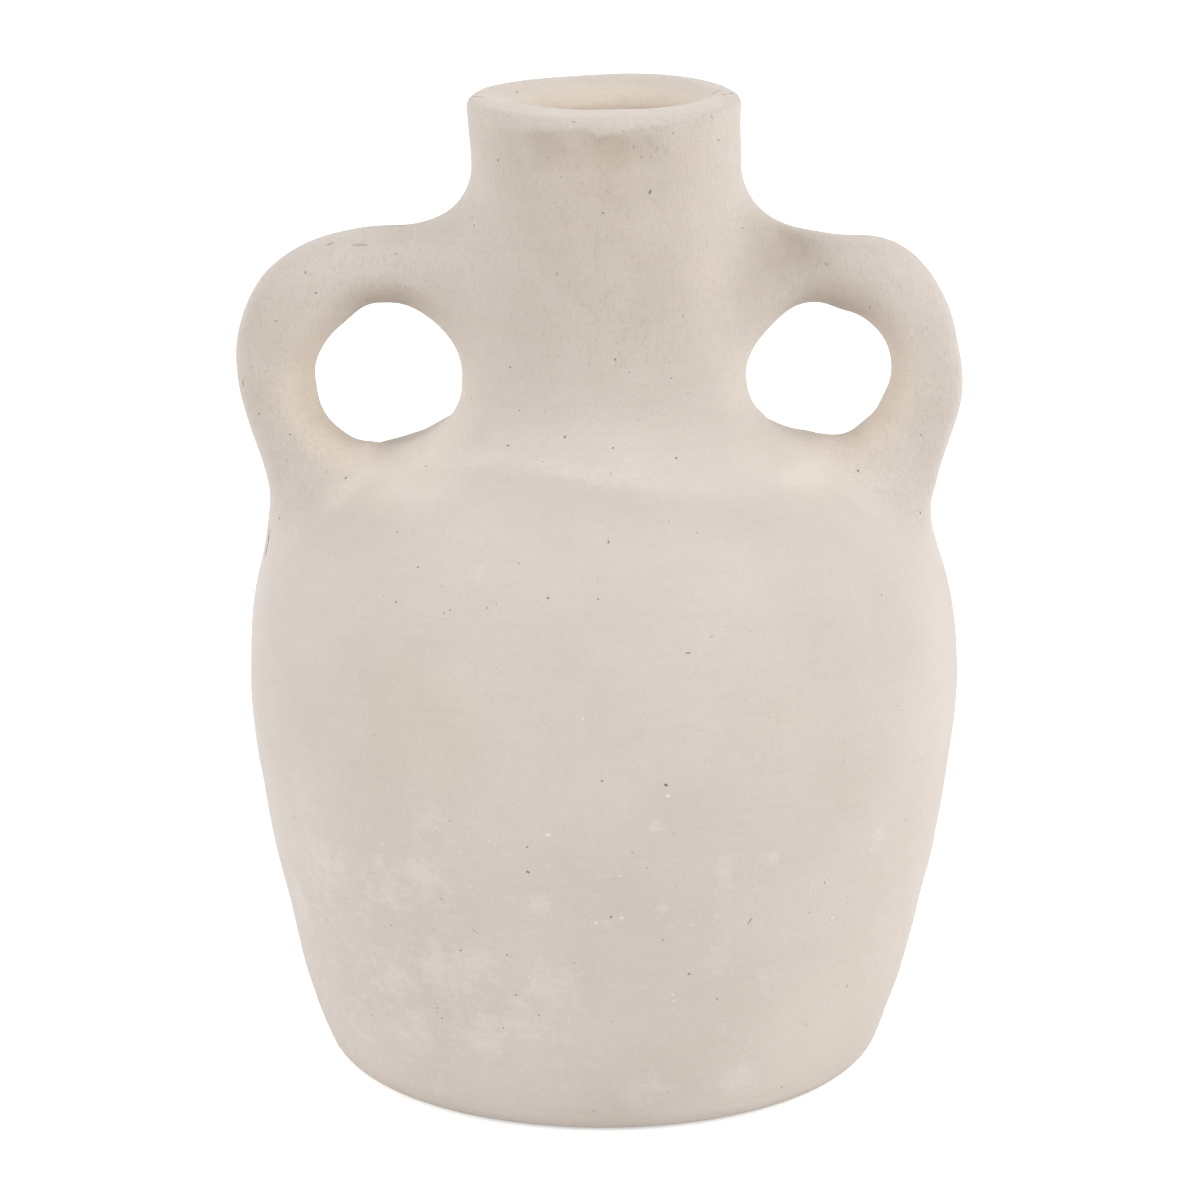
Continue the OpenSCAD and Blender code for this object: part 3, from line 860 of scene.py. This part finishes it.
def marks_of(points):
    # How much of each tint and finish shows at each point of a piece
    x, y, z = points.T
    r = np.hypot(x, y)
    above = above_smear(points)
    drawn = rim_skin(points)
    front_or_rear = off_sides(points)
    skin = np.where(z > HEIGHT - LIP, (MOUTH_R + RIM_R) / 2, outer_r(z) - WALL / 2)
    outside = (r > skin).astype(float)
    marks = tints_of(points)
    marks["rough"] = roughness(points)
    marks["scatter"] = outside * smooth(z, *SPECKS_START)
    marks["low"] = marks["scatter"] * (1 - smooth(z, *LIME_ENDS))
    # Painted light down the bore and on the worn rear lip, where the mouth shades the clay
    painted_bore_light = (r < MOUTH_R + LIP) * smooth(HEIGHT - z, *BORE_LIGHT_UNDER_RIM) * smooth(z, *BORE_LIGHT_STARTS)
    marks["mouth"] = np.maximum(painted_bore_light, worn_lip(points))
    # Painted light on the smear and on the drawn rim clay, where they face up
    smeared = np.maximum(SMEAR_LIGHT * smear(points, SMEAR_LIGHT_SOFT), RIM_SKIN_LIGHT * drawn)
    marks["smear"] = np.maximum(marks["smear"], smeared)
    under = smooth(above, *UNDER_SMEAR_STARTS) * (1 - smooth(above, *UNDER_SMEAR_ENDS)) * outside
    marks["shade"] = np.maximum(marks["shade"], UNDER_SMEAR * under * front_or_rear)
    bare = (1 - RIM_SKIN_HIDES * drawn) * (1 - smooth(z, *RIM_TINTS_END))
    marks["shade"] *= bare
    marks["warm_tone_and_light"] *= bare
    marks["pale"] += marks["low"] * (LIME_ROUND + LIME_LEFT * smooth(-x, *LIME_LEFT_STARTS))
    # Painted highlight along the smear's edge, drawn with the pale scum
    ridge = np.exp(-((above - RIDGE_UP) / RIDGE_WIDTH) ** 2) * smooth(x, *RIDGE_STARTS)
    ridge *= 1 - RIDGE_RIGHT_LOSS * smooth(x, *RIDGE_RIGHT)
    marks["pale"] += RIDGE_HIGHLIGHT * ridge * front_or_rear * outside
    beside_seam = np.exp(-((y + LEFT_FLANK_AHEAD) / LEFT_FLANK_WIDTH) ** 2) * (x < 0) * outside
    marks["left_flank_pale"] = LEFT_FLANK_PALE * beside_seam * smooth(z, *LEFT_FLANK_STARTS) * (1 - smooth(z, *LEFT_FLANK_ENDS))
    off_wall = smooth(r - outer_r(z), *SCUFFS_OFF_WALL)
    marks["scuffed"] = outside * np.maximum(smooth(z, *SCUFFS_START), off_wall)
    return marks


def clean_up(mesh):
    # Joins points that touch, drops loose edges and turns the faces outwards
    clean = bmesh.new()
    clean.from_mesh(mesh)
    bmesh.ops.remove_doubles(clean, verts=clean.verts, dist=TOUCHING)
    bmesh.ops.delete(clean, geom=[edge for edge in clean.edges if edge.is_wire], context="EDGES")
    bmesh.ops.recalc_face_normals(clean, faces=clean.faces)
    clean.to_mesh(mesh)
    clean.free()


def set_down(name, mesh, material):
    # Makes a finished mesh a smooth piece of the one fired body
    mesh.materials.clear()
    mesh.materials.append(material)
    mesh.polygons.foreach_set("use_smooth", np.ones(len(mesh.polygons), bool))
    piece = bpy.data.objects.new(name, mesh)
    bpy.context.collection.objects.link(piece)
    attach(piece, "root")
    return piece


def finish_piece(name, mesh, material, nodes):
    # Marks a piece for its material, bends it by hand and sets it in the place of its CAD nodes
    clean_up(mesh)
    points = points_of(mesh)
    for label, values in marks_of(points).items():
        mesh.attributes.new(label, "FLOAT", "POINT").data.foreach_set("value", values)
    mesh.vertices.foreach_set("co", (by_hand(points) * MM).ravel())
    piece = set_down(name, mesh, material)
    mesh.update()
    mesh.set_sharp_from_angle(angle=SHARP_ANGLE)
    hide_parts(*nodes)
    return piece


# Materials
WHITE = (1.0, 1.0, 1.0, 1.0)


def linear(code):
    # A colour written as sRGB hex, as the linear numbers that a socket takes
    parts = [int(code[i:i + 2], 16) / 255 for i in (1, 3, 5)]
    return [c / 12.92 if c <= 0.04045 else ((c + 0.055) / 1.055) ** 2.4 for c in parts] + [1.0]


def per(size):
    # A pattern's scale from its real size in millimetres
    return 1 / (size * MM)


def start_material(name, settings):
    # A material, its tree and its shader's sockets, with what is the same all over already set
    material = bpy.data.materials.new(name)
    material.use_nodes = True
    sockets = material.node_tree.nodes["Principled BSDF"].inputs
    for socket, value in settings.items():
        sockets[socket].default_value = value
    return material, material.node_tree, sockets


# Patterns of the clay: size in millimetres, detail, roughness, and any squeeze along X, Y and Z
CLAY_PATTERNS = {
    "clouds": (40.0, 3.0, 0.5, None),
    "rags": (5.0, 8.0, 0.7, None),
    "brushed": (1.1, 3.0, 0.5, (0.3, 0.3, 1.4)),
    "pores": (1.6, 3.0, 0.5, None),
    "wiped": (1.6, 3.0, 0.5, (0.06, 0.06, 1.0)),
    "grains": (0.6, 3.0, 0.5, None),
    "dabs": (5.0, 3.0, 0.5, None),
    "flecks": (0.9, 2.0, 0.5, (1.0, 1.0, 0.4)),
}
# Tints of the clay: its mark, size of its blotches in millimetres, where they start and end, cover, colour
CLAY_TINTS = (
    # The smear coat is painted light: on the shoulders and rim where they face up, round the holes and low on
    # the right
    ("smear", 16.0, -0.2, 0.8, 0.95, "#EDE4DB"),
    # The warm coat is the neck's warmer tone, and painted light on the holes' inner faces
    ("warm_tone_and_light", 12.0, -0.2, 0.8, 0.95, "#F0E3D1"),
    ("shade", 10.0, -0.4, 0.9, 0.64, "#AC9C8C"),
    # The mouth coat is painted light down the bore and on the worn rear lip
    ("mouth", 8.0, 0.1, 0.5, 0.95, "#E2D6C8"),
    # A pale lilac coat down the left flank
    ("left_flank_pale", 18.0, 0.15, 0.75, 0.95, "#E8E0E2"),
)
BLOTCH_DETAIL = 4.0
BLOTCH_ROUGHNESS = 0.6
# Clouds of darker and of drier clay: where they start and end, and the roughness outside and in dry ones
DARK_CLOUDS = (0.35, 0.65)
DRY_CLOUDS = (0.3, 0.7)
DRYNESS = (0.8, 0.95)
# How much ragged patches and level streaks add to lime scum, then where the scum starts and ends, its least
# and most cover, and its colour
SCUM_RAGS = 3.0
SCUM_STREAKS = 1.2
# The scum also draws the painted highlight along the smear's edge
SCUM = (2.7, 3.5, 0.0, 0.42, "#E8E1E1")
# Fine mottling left by a sponge and level streaks left by a wipe, in the same way
SPONGING = (0.4, 0.7, 0.0, 0.06, "#B7AA9E")
WIPING = (0.5, 0.75, 0.0, 0.07, "#B7AA9E")
# Dots of grit: where they fade out, their colour, and their cover on smooth and on scuffed clay
GRIT = (0.35, 0.55)
GRIT_COLOUR = "#A4978A"
GRIT_COVER = (0.075, 0.12)
# Short upright flecks: where they rise, and how high on smooth and on scuffed clay
FLECKS = (0.58, 0.7)
FLECK_RELIEF = (0.25, 1.2)
# Relief of wipe marks and of crumbs, beside dabs of 1
WIPE_RELIEF = 0.5
CRUMB_RELIEF = 28.0
# Depth of the relief for a height of 1
BUMP_DEPTH = 0.25
# Marks on the pieces that the clay reads
CLAY_MARKS = ("smear", "warm_tone_and_light", "shade", "mouth", "left_flank_pale", "pale", "scuffed", "rough")


def clay_patterns(tree, at):
    pattern = {}
    for label, (size, detail, rough, squeeze) in CLAY_PATTERNS.items():
        where = at
        if squeeze:
            where = add_node(tree, "ShaderNodeMapping", {"Vector": at, "Scale": squeeze}).outputs[0]
        noise = add_node(tree, "ShaderNodeTexNoise",
                         {"Vector": where, "Scale": per(size), "Detail": detail, "Roughness": rough})
        pattern[label] = noise.outputs["Fac"]
    return pattern


def clay_colour(tree, at, pattern, mark, light, dark):
    # Coats over the light clay, each a share and a colour
    low, high = DARK_CLOUDS
    clouded = add_node(tree, "ShaderNodeMapRange", {0: pattern["clouds"], 1: low, 2: high})
    coats = [(clouded.outputs[0], dark)]
    for label, size, low, high, cover, colour in CLAY_TINTS:
        blotches = add_node(tree, "ShaderNodeTexNoise",
                            {"Vector": at, "Scale": per(size), "Detail": BLOTCH_DETAIL,
                             "Roughness": BLOTCH_ROUGHNESS})
        cut_in = add_node(tree, "ShaderNodeMapRange",
                          {0: blotches.outputs["Fac"], 1: low, 2: high, 3: 0.0, 4: cover})
        share = add_node(tree, "ShaderNodeMath", {0: mark[label], 1: cut_in.outputs[0]}, operation="MULTIPLY")
        coats.append((share.outputs[0], colour))
    # Lime scum dries in ragged patches, brushed into fine level streaks
    scum = mark["pale"]
    for label, amount in (("rags", SCUM_RAGS), ("brushed", SCUM_STREAKS)):
        scum = add_node(tree, "ShaderNodeMath", {0: pattern[label], 1: amount, 2: scum},
                        operation="MULTIPLY_ADD").outputs[0]
    # Neck and handles are scuffed, so more of the grit shows there
    low, high = GRIT_COVER
    shown = add_node(tree, "ShaderNodeMapRange", {0: mark["scuffed"], 1: 0.0, 2: 1.0, 3: low, 4: high})
    dots = (*GRIT, shown.outputs[0], 0.0, GRIT_COLOUR)
    for field, coat in ((scum, SCUM), (pattern["pores"], SPONGING), (pattern["wiped"], WIPING),
                        (pattern["grains"], dots)):
        low, high, first, last, colour = coat
        share = add_node(tree, "ShaderNodeMapRange", {0: field, 1: low, 2: high, 3: first, 4: last})
        coats.append((share.outputs[0], colour))
    under = linear(light)
    for share, colour in coats:
        under = add_node(tree, "ShaderNodeMix", {0: share, 6: under, 7: linear(colour)},
                         data_type="RGBA").outputs[2]
    return under


def clay_relief(tree, pattern, mark, grit):
    # Dabs, grit and wipe marks all over, more upright flecks where it is scuffed, and crumbs where it is torn
    low, high = FLECKS
    raised = add_node(tree, "ShaderNodeMapRange", {0: pattern["flecks"], 1: low, 2: high})
    low, high = FLECK_RELIEF
    worn = add_node(tree, "ShaderNodeMapRange", {0: mark["scuffed"], 1: 0.0, 2: 1.0, 3: low, 4: high})
    crumbs = add_node(tree, "ShaderNodeMath", {0: mark["rough"], 1: pattern["rags"]}, operation="MULTIPLY")
    height = pattern["dabs"]
    for relief, amount in ((pattern["grains"], grit), (pattern["wiped"], WIPE_RELIEF),
                           (raised.outputs[0], worn.outputs[0]), (crumbs.outputs[0], CRUMB_RELIEF)):
        height = add_node(tree, "ShaderNodeMath", {0: relief, 1: amount, 2: height},
                          operation="MULTIPLY_ADD").outputs[0]
    return height


def clay_material(name, light, dark, grit):
    # Earthenware fired without glaze: a chalky, matt, faintly blotched surface with fine grit and wipe marks
    material, tree, shader = start_material(name, {"Specular IOR Level": 0.25, "Diffuse Roughness": 0.5})
    at = add_node(tree, "ShaderNodeTexCoord").outputs["Object"]
    pattern = clay_patterns(tree, at)
    mark = {}
    for label in CLAY_MARKS:
        mark[label] = add_node(tree, "ShaderNodeAttribute", attribute_name=label).outputs["Fac"]
    tree.links.new(clay_colour(tree, at, pattern, mark, light, dark), shader["Base Color"])
    low, high = DRY_CLOUDS
    least, most = DRYNESS
    dry = add_node(tree, "ShaderNodeMapRange", {0: pattern["clouds"], 1: low, 2: high, 3: least, 4: most})
    tree.links.new(dry.outputs[0], shader["Roughness"])
    bump = add_node(tree, "ShaderNodeBump", {"Strength": 0.5, "Distance": BUMP_DEPTH * MM,
                                             "Height": clay_relief(tree, pattern, mark, grit)})
    tree.links.new(bump.outputs[0], shader["Normal"])
    return material


def grain_material(name, one, other):
    # Foreign grains in the clay, and painted shade in hairline cracks: dull points whose tone differs grain
    # to grain
    material, tree, shader = start_material(name, {"Roughness": 0.95, "Specular IOR Level": 0.2})
    tone = add_node(tree, "ShaderNodeAttribute", attribute_name="tone")
    colour = add_node(tree, "ShaderNodeMix", {0: tone.outputs["Fac"], 6: linear(one), 7: linear(other)},
                      data_type="RGBA")
    tree.links.new(colour.outputs[2], shader["Base Color"])
    return material


sponged = clay_material("sponged_earthenware", "#D9D0C9", "#D4CBC3", grit=0.6)
raw = clay_material("raw_earthenware", "#D8CCBF", "#CDC0B1", grit=1.0)
burnt = grain_material("burnt_grog", "#857A72", "#BDB1A6")
lime = grain_material("lime_flecks", "#D9D3CE", "#E2DBD3")
crack_dark = grain_material("crack_stain_and_shade", "#9C8070", "#C7B097")

# Pressed halves: one closed section from the floor up the outside, over the lip and down the inside
outside_part = cut_below(below_lip, FLOOR_T)
plain_part = outside_part[outside_part[:, 1] < RIM_FINE_Z]
rim_part = outside_part[outside_part[:, 1] >= RIM_FINE_Z]
outside_line = np.vstack([evenly(np.vstack([plain_part, rim_part[:1]]), OUTSIDE_STEP),
                          evenly(rim_part, RIM_STEP)[1:]])
lip_line = evenly(np.vstack([lip_outer, lip_inner]), LIP_STEP)
bore_end = [MOUTH_R, bore_start]
bore_line = evenly(np.array([lip_inner[-1], bore_end]), INSIDE_STEP)
inside_line = evenly(np.vstack([[bore_end], inside[inside[:, 1] > FLOOR_T][::-1],
                                [[radius_at(inside, FLOOR_T), FLOOR_T]]]), INSIDE_STEP)
half_section = np.vstack([outside_line, lip_line[1:], bore_line[1:], inside_line[1:]])
front = turned(half_section, sponged, start=180, sweep=180, steps=HALF_STEPS)
rear = turned(half_section, sponged, start=0, sweep=180, steps=HALF_STEPS)

# Floor slab, which carries the rounded edge of the foot
slab_rim = [outer_r(FLOOR_T), FLOOR_T]
slab_edge = np.vstack([foot_arc, belly_low[1:][belly_low[1:, 1] < FLOOR_T], [slab_rim]])
slab_section = np.vstack([evenly(np.array([[0, 0], [FOOT_R, 0]]), INSIDE_STEP)[:-1],
                          evenly(slab_edge, LIP_STEP),
                          evenly(np.array([slab_rim, [0, FLOOR_T]]), INSIDE_STEP)[1:]])
slab = turned(slab_section, sponged)

# Coil pressed into the corner of the floor
coil_top = FLOOR_T + FLOOR_COIL
backing = cut_below(inside, FLOOR_T)
backing = np.vstack([backing[backing[:, 1] < coil_top], [[radius_at(inside, coil_top), coil_top]]])
coil_corner = backing[0]
coil_tip = backing[-1]
coil_toe = coil_corner - [FLOOR_COIL, 0]
coil_face = bezier(coil_tip, (coil_tip + coil_corner) / 2, (coil_toe + coil_corner) / 2, coil_toe, COIL_STEPS)
floor_coil = turned(np.vstack([backing, coil_face[1:]]), raw)

# Flattened coils over the two seams
seam_back = cut_below(inside, coil_top)
seam_section = np.vstack([evenly(seam_back, STRIP_STEP),
                          evenly(set_in(seam_back, SEAM_COIL_T), STRIP_STEP)[::-1]])
seam_turn = math.degrees(2 * math.asin(SEAM_COIL_W / 2 / (BELLY_R - WALL)))
seam_left = turned(seam_section, raw, start=180 - seam_turn / 2, sweep=seam_turn, steps=STRIP_STEPS)
seam_right = turned(seam_section, raw, start=-seam_turn / 2, sweep=seam_turn, steps=STRIP_STEPS)

# Bars and the wads smeared round their ends
bars = []
neck_wads = []
shoulder_wads = []
for bar in (LEFT_BAR, RIGHT_BAR):
    path, radii = bar_path(bar)
    bars.append(grow(curve_of(path, radii), rolled_clay,
                     {"Sides": BAR_SIDES, "Squareness": SQUARENESS, "Depth": BAR_DEPTH, "Material": sponged}))
    neck_wads.append(wad(bar, "run", bar["neck_spread"], LOOP_SPREAD))
    shoulder_wads.append(wad(bar, "leg", SHOULDER_SPREAD, LOOP_SPREAD))

# Where the photograph's pixels fall on the pieces, before the hand bends them
wall_tree = surface_tree([front])
skin_tree = surface_tree([front, slab, *bars, *neck_wads, *shoulder_wads])
smear_places = [seen_at(wall_tree, *pixel) for pixel in SMEAR_EDGE_PIXELS]
smear_order = sorted((abs(math.atan2(p[1], p[0])), p[2]) for p in smear_places)
smear_angles, smear_heights = zip(*smear_order)
skin_tints = {label: [(seen_at(skin_tree, px, py), width, strength) for px, py, width, strength in tints]
              for label, tints in SKIN_TINTS.items()}
rough_places = [(seen_at(skin_tree, px, py), width, height) for px, py, width, height in ROUGH_PIXELS]

# Pieces, and the node that each one replaces
outer_pieces = []
for name, mesh, node in (("vessel_front", front, "front_half"),
                         ("vessel_rear", rear, "rear_half"),
                         ("vessel_floor", slab, "floor_slab"),
                         ("loop_left", bars[0], "handle_left"),
                         ("loop_right", bars[1], "handle_right"),
                         ("neck_smear_left", neck_wads[0], "neck_wad_left"),
                         ("neck_smear_right", neck_wads[1], "neck_wad_right"),
                         ("shoulder_smear_left", shoulder_wads[0], "shoulder_wad_left"),
                         ("shoulder_smear_right", shoulder_wads[1], "shoulder_wad_right")):
    outer_pieces.append(finish_piece(name, mesh, sponged, [node]))
for name, mesh, node in (("floor_corner_coil", floor_coil, "floor_coil_ring"),
                         ("seam_strip_left", seam_left, "seam_coil_left"),
                         ("seam_strip_right", seam_right, "seam_coil_right")):
    finish_piece(name, mesh, raw, [node])
finished_tree = surface_tree([piece.data for piece in outer_pieces])


def scattered(name, mark, density, smallest, largest, seed, material):
    # Grains over all outer pieces, as often as a mark says
    whole = bmesh.new()
    for piece in outer_pieces:
        source = piece.data.copy()
        values = np.empty(len(source.vertices))
        source.attributes[mark].data.foreach_get("value", values)
        source.attributes["scatter"].data.foreach_set("value", values)
        grains = grow(source, speck_scatter, {"Density": density, "Smallest": smallest * MM,
                                              "Largest": largest * MM, "Seed": seed, "Material": material})
        whole.from_mesh(grains)
    mesh = bpy.data.meshes.new(name)
    whole.to_mesh(mesh)
    whole.free()
    set_down(name, mesh, material)


# Marks seen one by one: pixel of the photograph, length and width in millimetres, turn in the picture, tone
GROG_MARKS = ((650, 192, 1.5, 0.7, 65, 0.0), (498, 160, 0.8, 0.7, 80, 0.1), (565, 437, 1.1, 0.6, 60, 0.2),
              (613, 448, 1.0, 0.5, 30, 0.4), (548, 598, 0.8, 0.7, 40, 0.2), (598, 599, 0.7, 0.6, 0, 0.5),
              (688, 653, 1.6, 0.5, 5, 0.4), (602, 781, 0.8, 0.6, 45, 0.4), (666, 785, 1.3, 0.8, 150, 0.0),
              (528, 872, 1.2, 0.8, 160, 0.2), (527, 847, 0.9, 0.6, 60, 0.5), (611, 917, 0.8, 0.7, 60, 0.1),
              (516, 995, 0.8, 0.6, 20, 0.5), (689, 974, 1.0, 0.7, 30, 0.3), (847, 986, 1.3, 0.5, 40, 0.4),
              (750, 921, 2.6, 0.45, 52, 0.4), (507, 955, 0.9, 0.5, 130, 0.6), (442, 1018, 0.8, 0.6, 0, 0.6),
              (475, 931, 2.6, 0.35, 150, 0.9), (397, 532, 0.8, 0.7, 0, 0.6), (418, 567, 0.9, 0.6, 140, 0.6),
              (396, 602, 0.9, 0.7, 0, 0.6), (450, 610, 0.9, 0.5, 150, 0.7), (444, 613, 0.8, 0.5, 60, 0.7),
              (623, 131, 0.7, 0.6, 0, 0.8), (634, 147, 1.0, 0.6, 80, 0.6), (641, 157, 0.8, 0.6, 60, 0.6),
              (651, 157, 0.6, 0.5, 0, 0.7), (574, 122, 1.8, 0.4, 165, 0.8), (547, 158, 0.7, 0.5, 0, 0.7),
              (673, 133, 0.9, 0.7, 40, 0.8), (712, 117, 1.2, 0.6, 130, 0.7), (330, 244, 2.4, 0.8, 25, 0.7),
              (360, 245, 4.6, 1.1, 0, 1.0), (316, 293, 0.8, 0.7, 0, 0.4), (276, 321, 1.0, 0.5, 0, 0.5),
              (259, 414, 0.8, 0.6, 0, 0.5), (396, 254, 0.7, 0.5, 0, 0.6), (243, 383, 2.4, 0.7, 100, 0.5),
              (827, 264, 1.4, 1.2, 0, 0.95), (658, 148, 1.4, 0.3, 150, 0.8), (561, 177, 0.6, 0.5, 0, 0.8),
              (536, 182, 0.6, 0.5, 0, 0.8), (472, 217, 0.7, 0.5, 0, 0.7), (555, 203, 0.7, 0.6, 0, 0.9))
# Hairline cracks: painted shade in the cracks, with a brown stain
CRACK_MARKS = ((479, 97, 4.0, 0.3, 6, 0.2), (716, 92, 3.2, 0.3, 160, 0.3), (728, 94, 3.8, 0.3, 176, 0.2),
               (269, 535, 4.2, 0.7, 75, 0.3), (268, 543, 4.6, 0.9, 78, 0.1), (266, 552, 4.6, 0.8, 80, 0.0),
               (517, 92, 1.2, 1.0, 20, 0.8))
LIME_MARKS = ((668, 796, 1.3, 1.2, 0, 0.6), (548, 835, 1.7, 1.0, 0, 0.9), (622, 918, 1.4, 1.0, 30, 0.8),
              (596, 923, 1.0, 0.9, 0, 0.7), (810, 894, 2.4, 0.35, 90, 0.9), (507, 1034, 1.6, 1.1, 0, 0.3),
              (382, 844, 1.8, 1.0, 150, 0.5), (350, 1002, 2.6, 0.6, 120, 0.4), (480, 541, 2.2, 0.6, 15, 0.5),
              (415, 500, 2.6, 0.5, 20, 0.6), (340, 507, 2.0, 0.8, 30, 0.5))
# Half size of a mark as a share of how long and wide it looks, under a half because the photograph blurs it
MARK_HALF = 0.42


def placed(name, marks, material, proud):
    # Flat grains where single pixels of the photograph show them, standing a little proud of the skin
    grains = bmesh.new()
    tones = []
    for px, py, length, width, turn, tone in marks:
        place, normal = look(finished_tree, px, py)
        picture_way = Vector((math.cos(math.radians(turn)), 0, math.sin(math.radians(turn))))
        along = (picture_way - picture_way.dot(normal) * normal).normalized()
        axes = Matrix((along, normal.cross(along), normal)).transposed().to_4x4()
        size = Matrix.Diagonal((MARK_HALF * length * MM, MARK_HALF * width * MM, proud * MM, 1))
        made = bmesh.ops.create_icosphere(grains, subdivisions=2, radius=1.0,
                                          matrix=Matrix.Translation(place) @ axes @ size)
        tones += [tone] * len(made["verts"])
    mesh = bpy.data.meshes.new(name)
    grains.to_mesh(mesh)
    grains.free()
    mesh.attributes.new("tone", "FLOAT", "POINT").data.foreach_set("value", tones)
    set_down(name, mesh, material)


scattered("scattered_grog", "scatter", density=5200.0, smallest=0.12, largest=0.36, seed=11, material=burnt)
scattered("scattered_lime", "low", density=5200.0, smallest=0.14, largest=0.7, seed=12, material=lime)
placed("single_grog", GROG_MARKS, burnt, proud=0.06)
placed("seam_hairlines", CRACK_MARKS, crack_dark, proud=0.06)
placed("single_lime", LIME_MARKS, lime, proud=0.05)

# Stage, in metres and watts
FLOOR_REACH = 6.0
# Glow of the paper where it is seen directly, and the light of the room on the vase
PAPER_GLOW = 0.53
AMBIENT = 0.36
# Softboxes: where they stand, how wide they are, their power, and where all of them aim
SOFTBOXES = {
    "key_softbox": ((1.25, -0.85, 1.0), 1.2, 14.8),
    "fill_softbox": ((-1.2, -0.8, 0.9), 1.0, 12.1),
    "back_softbox": ((1.2, 0.9, 0.8), 1.0, 2.2),
    "side_softbox": ((1.5, 0.1, 0.5), 1.0, 3.6),
    "rear_softbox": ((-0.7, 1.5, 0.9), 1.2, 7.0),
    "top_softbox": ((0.0, 0.1, 1.8), 1.4, 3.9),
}
AIM = Vector((0, 0, 0.12))
VIEW_REACH = 50.0


def seen_directly(tree):
    # 1 where a ray shows the stage itself, also in gloss and glass, and 0 where it lights the vase
    ray = add_node(tree, "ShaderNodeLightPath").outputs
    seen = ray["Is Camera Ray"]
    for kind in ("Is Glossy Ray", "Is Transmission Ray"):
        seen = add_node(tree, "ShaderNodeMath", {0: seen, 1: ray[kind]}, operation="MAXIMUM").outputs[0]
    return seen


# White paper: matt and evenly bright, so that only a faint shadow of the vase shows on it
paper, tree, shader = start_material("white_paper_sweep",
                                     {"Base Color": linear("#F8F8F6"), "Roughness": 1.0,
                                      "Specular IOR Level": 0.0, "Emission Color": WHITE})
glow = add_node(tree, "ShaderNodeMath", {0: seen_directly(tree), 1: PAPER_GLOW}, operation="MULTIPLY")
tree.links.new(glow.outputs[0], shader["Emission Strength"])
corners = [(x * FLOOR_REACH, y * FLOOR_REACH, 0) for x, y in ((-1, -1), (1, -1), (1, 1), (-1, 1))]
floor_mesh = bpy.data.meshes.new("studio_floor")
floor_mesh.from_pydata(corners, [], [(0, 1, 2, 3)])
floor_mesh.materials.append(paper)
floor = bpy.data.objects.new("studio_floor", floor_mesh)
bpy.context.collection.objects.link(floor)

world = bpy.data.worlds.new("studio")
bpy.context.scene.world = world
world.use_nodes = True
tree = world.node_tree
strength = add_node(tree, "ShaderNodeMapRange", {0: seen_directly(tree), 1: 0.0, 2: 1.0, 3: AMBIENT, 4: 1.0})
background = tree.nodes["Background"]
background.inputs["Color"].default_value = WHITE
tree.links.new(strength.outputs[0], background.inputs["Strength"])

for name, (place, width, power) in SOFTBOXES.items():
    lamp = bpy.data.lights.new(name, "AREA")
    lamp.shape = "DISK"
    lamp.size = width
    lamp.energy = power
    softbox = bpy.data.objects.new(name, lamp)
    softbox.location = place
    softbox.rotation_euler = (AIM - Vector(place)).to_track_quat("-Z", "Y").to_euler()
    bpy.context.collection.objects.link(softbox)

lens = bpy.data.cameras.new("photo_camera")
lens.sensor_width = SENSOR
lens.lens = FOCAL_PIXELS / PHOTO_PIXELS * SENSOR
lens.clip_end = VIEW_REACH
camera = bpy.data.objects.new("photo_camera", lens)
camera.location = camera_at * MM
camera.rotation_euler = (math.pi / 2 - CAMERA_PITCH, 0, 0)
bpy.context.collection.objects.link(camera)
bpy.context.scene.camera = camera
bpy.context.scene.view_settings.view_transform = "Standard"
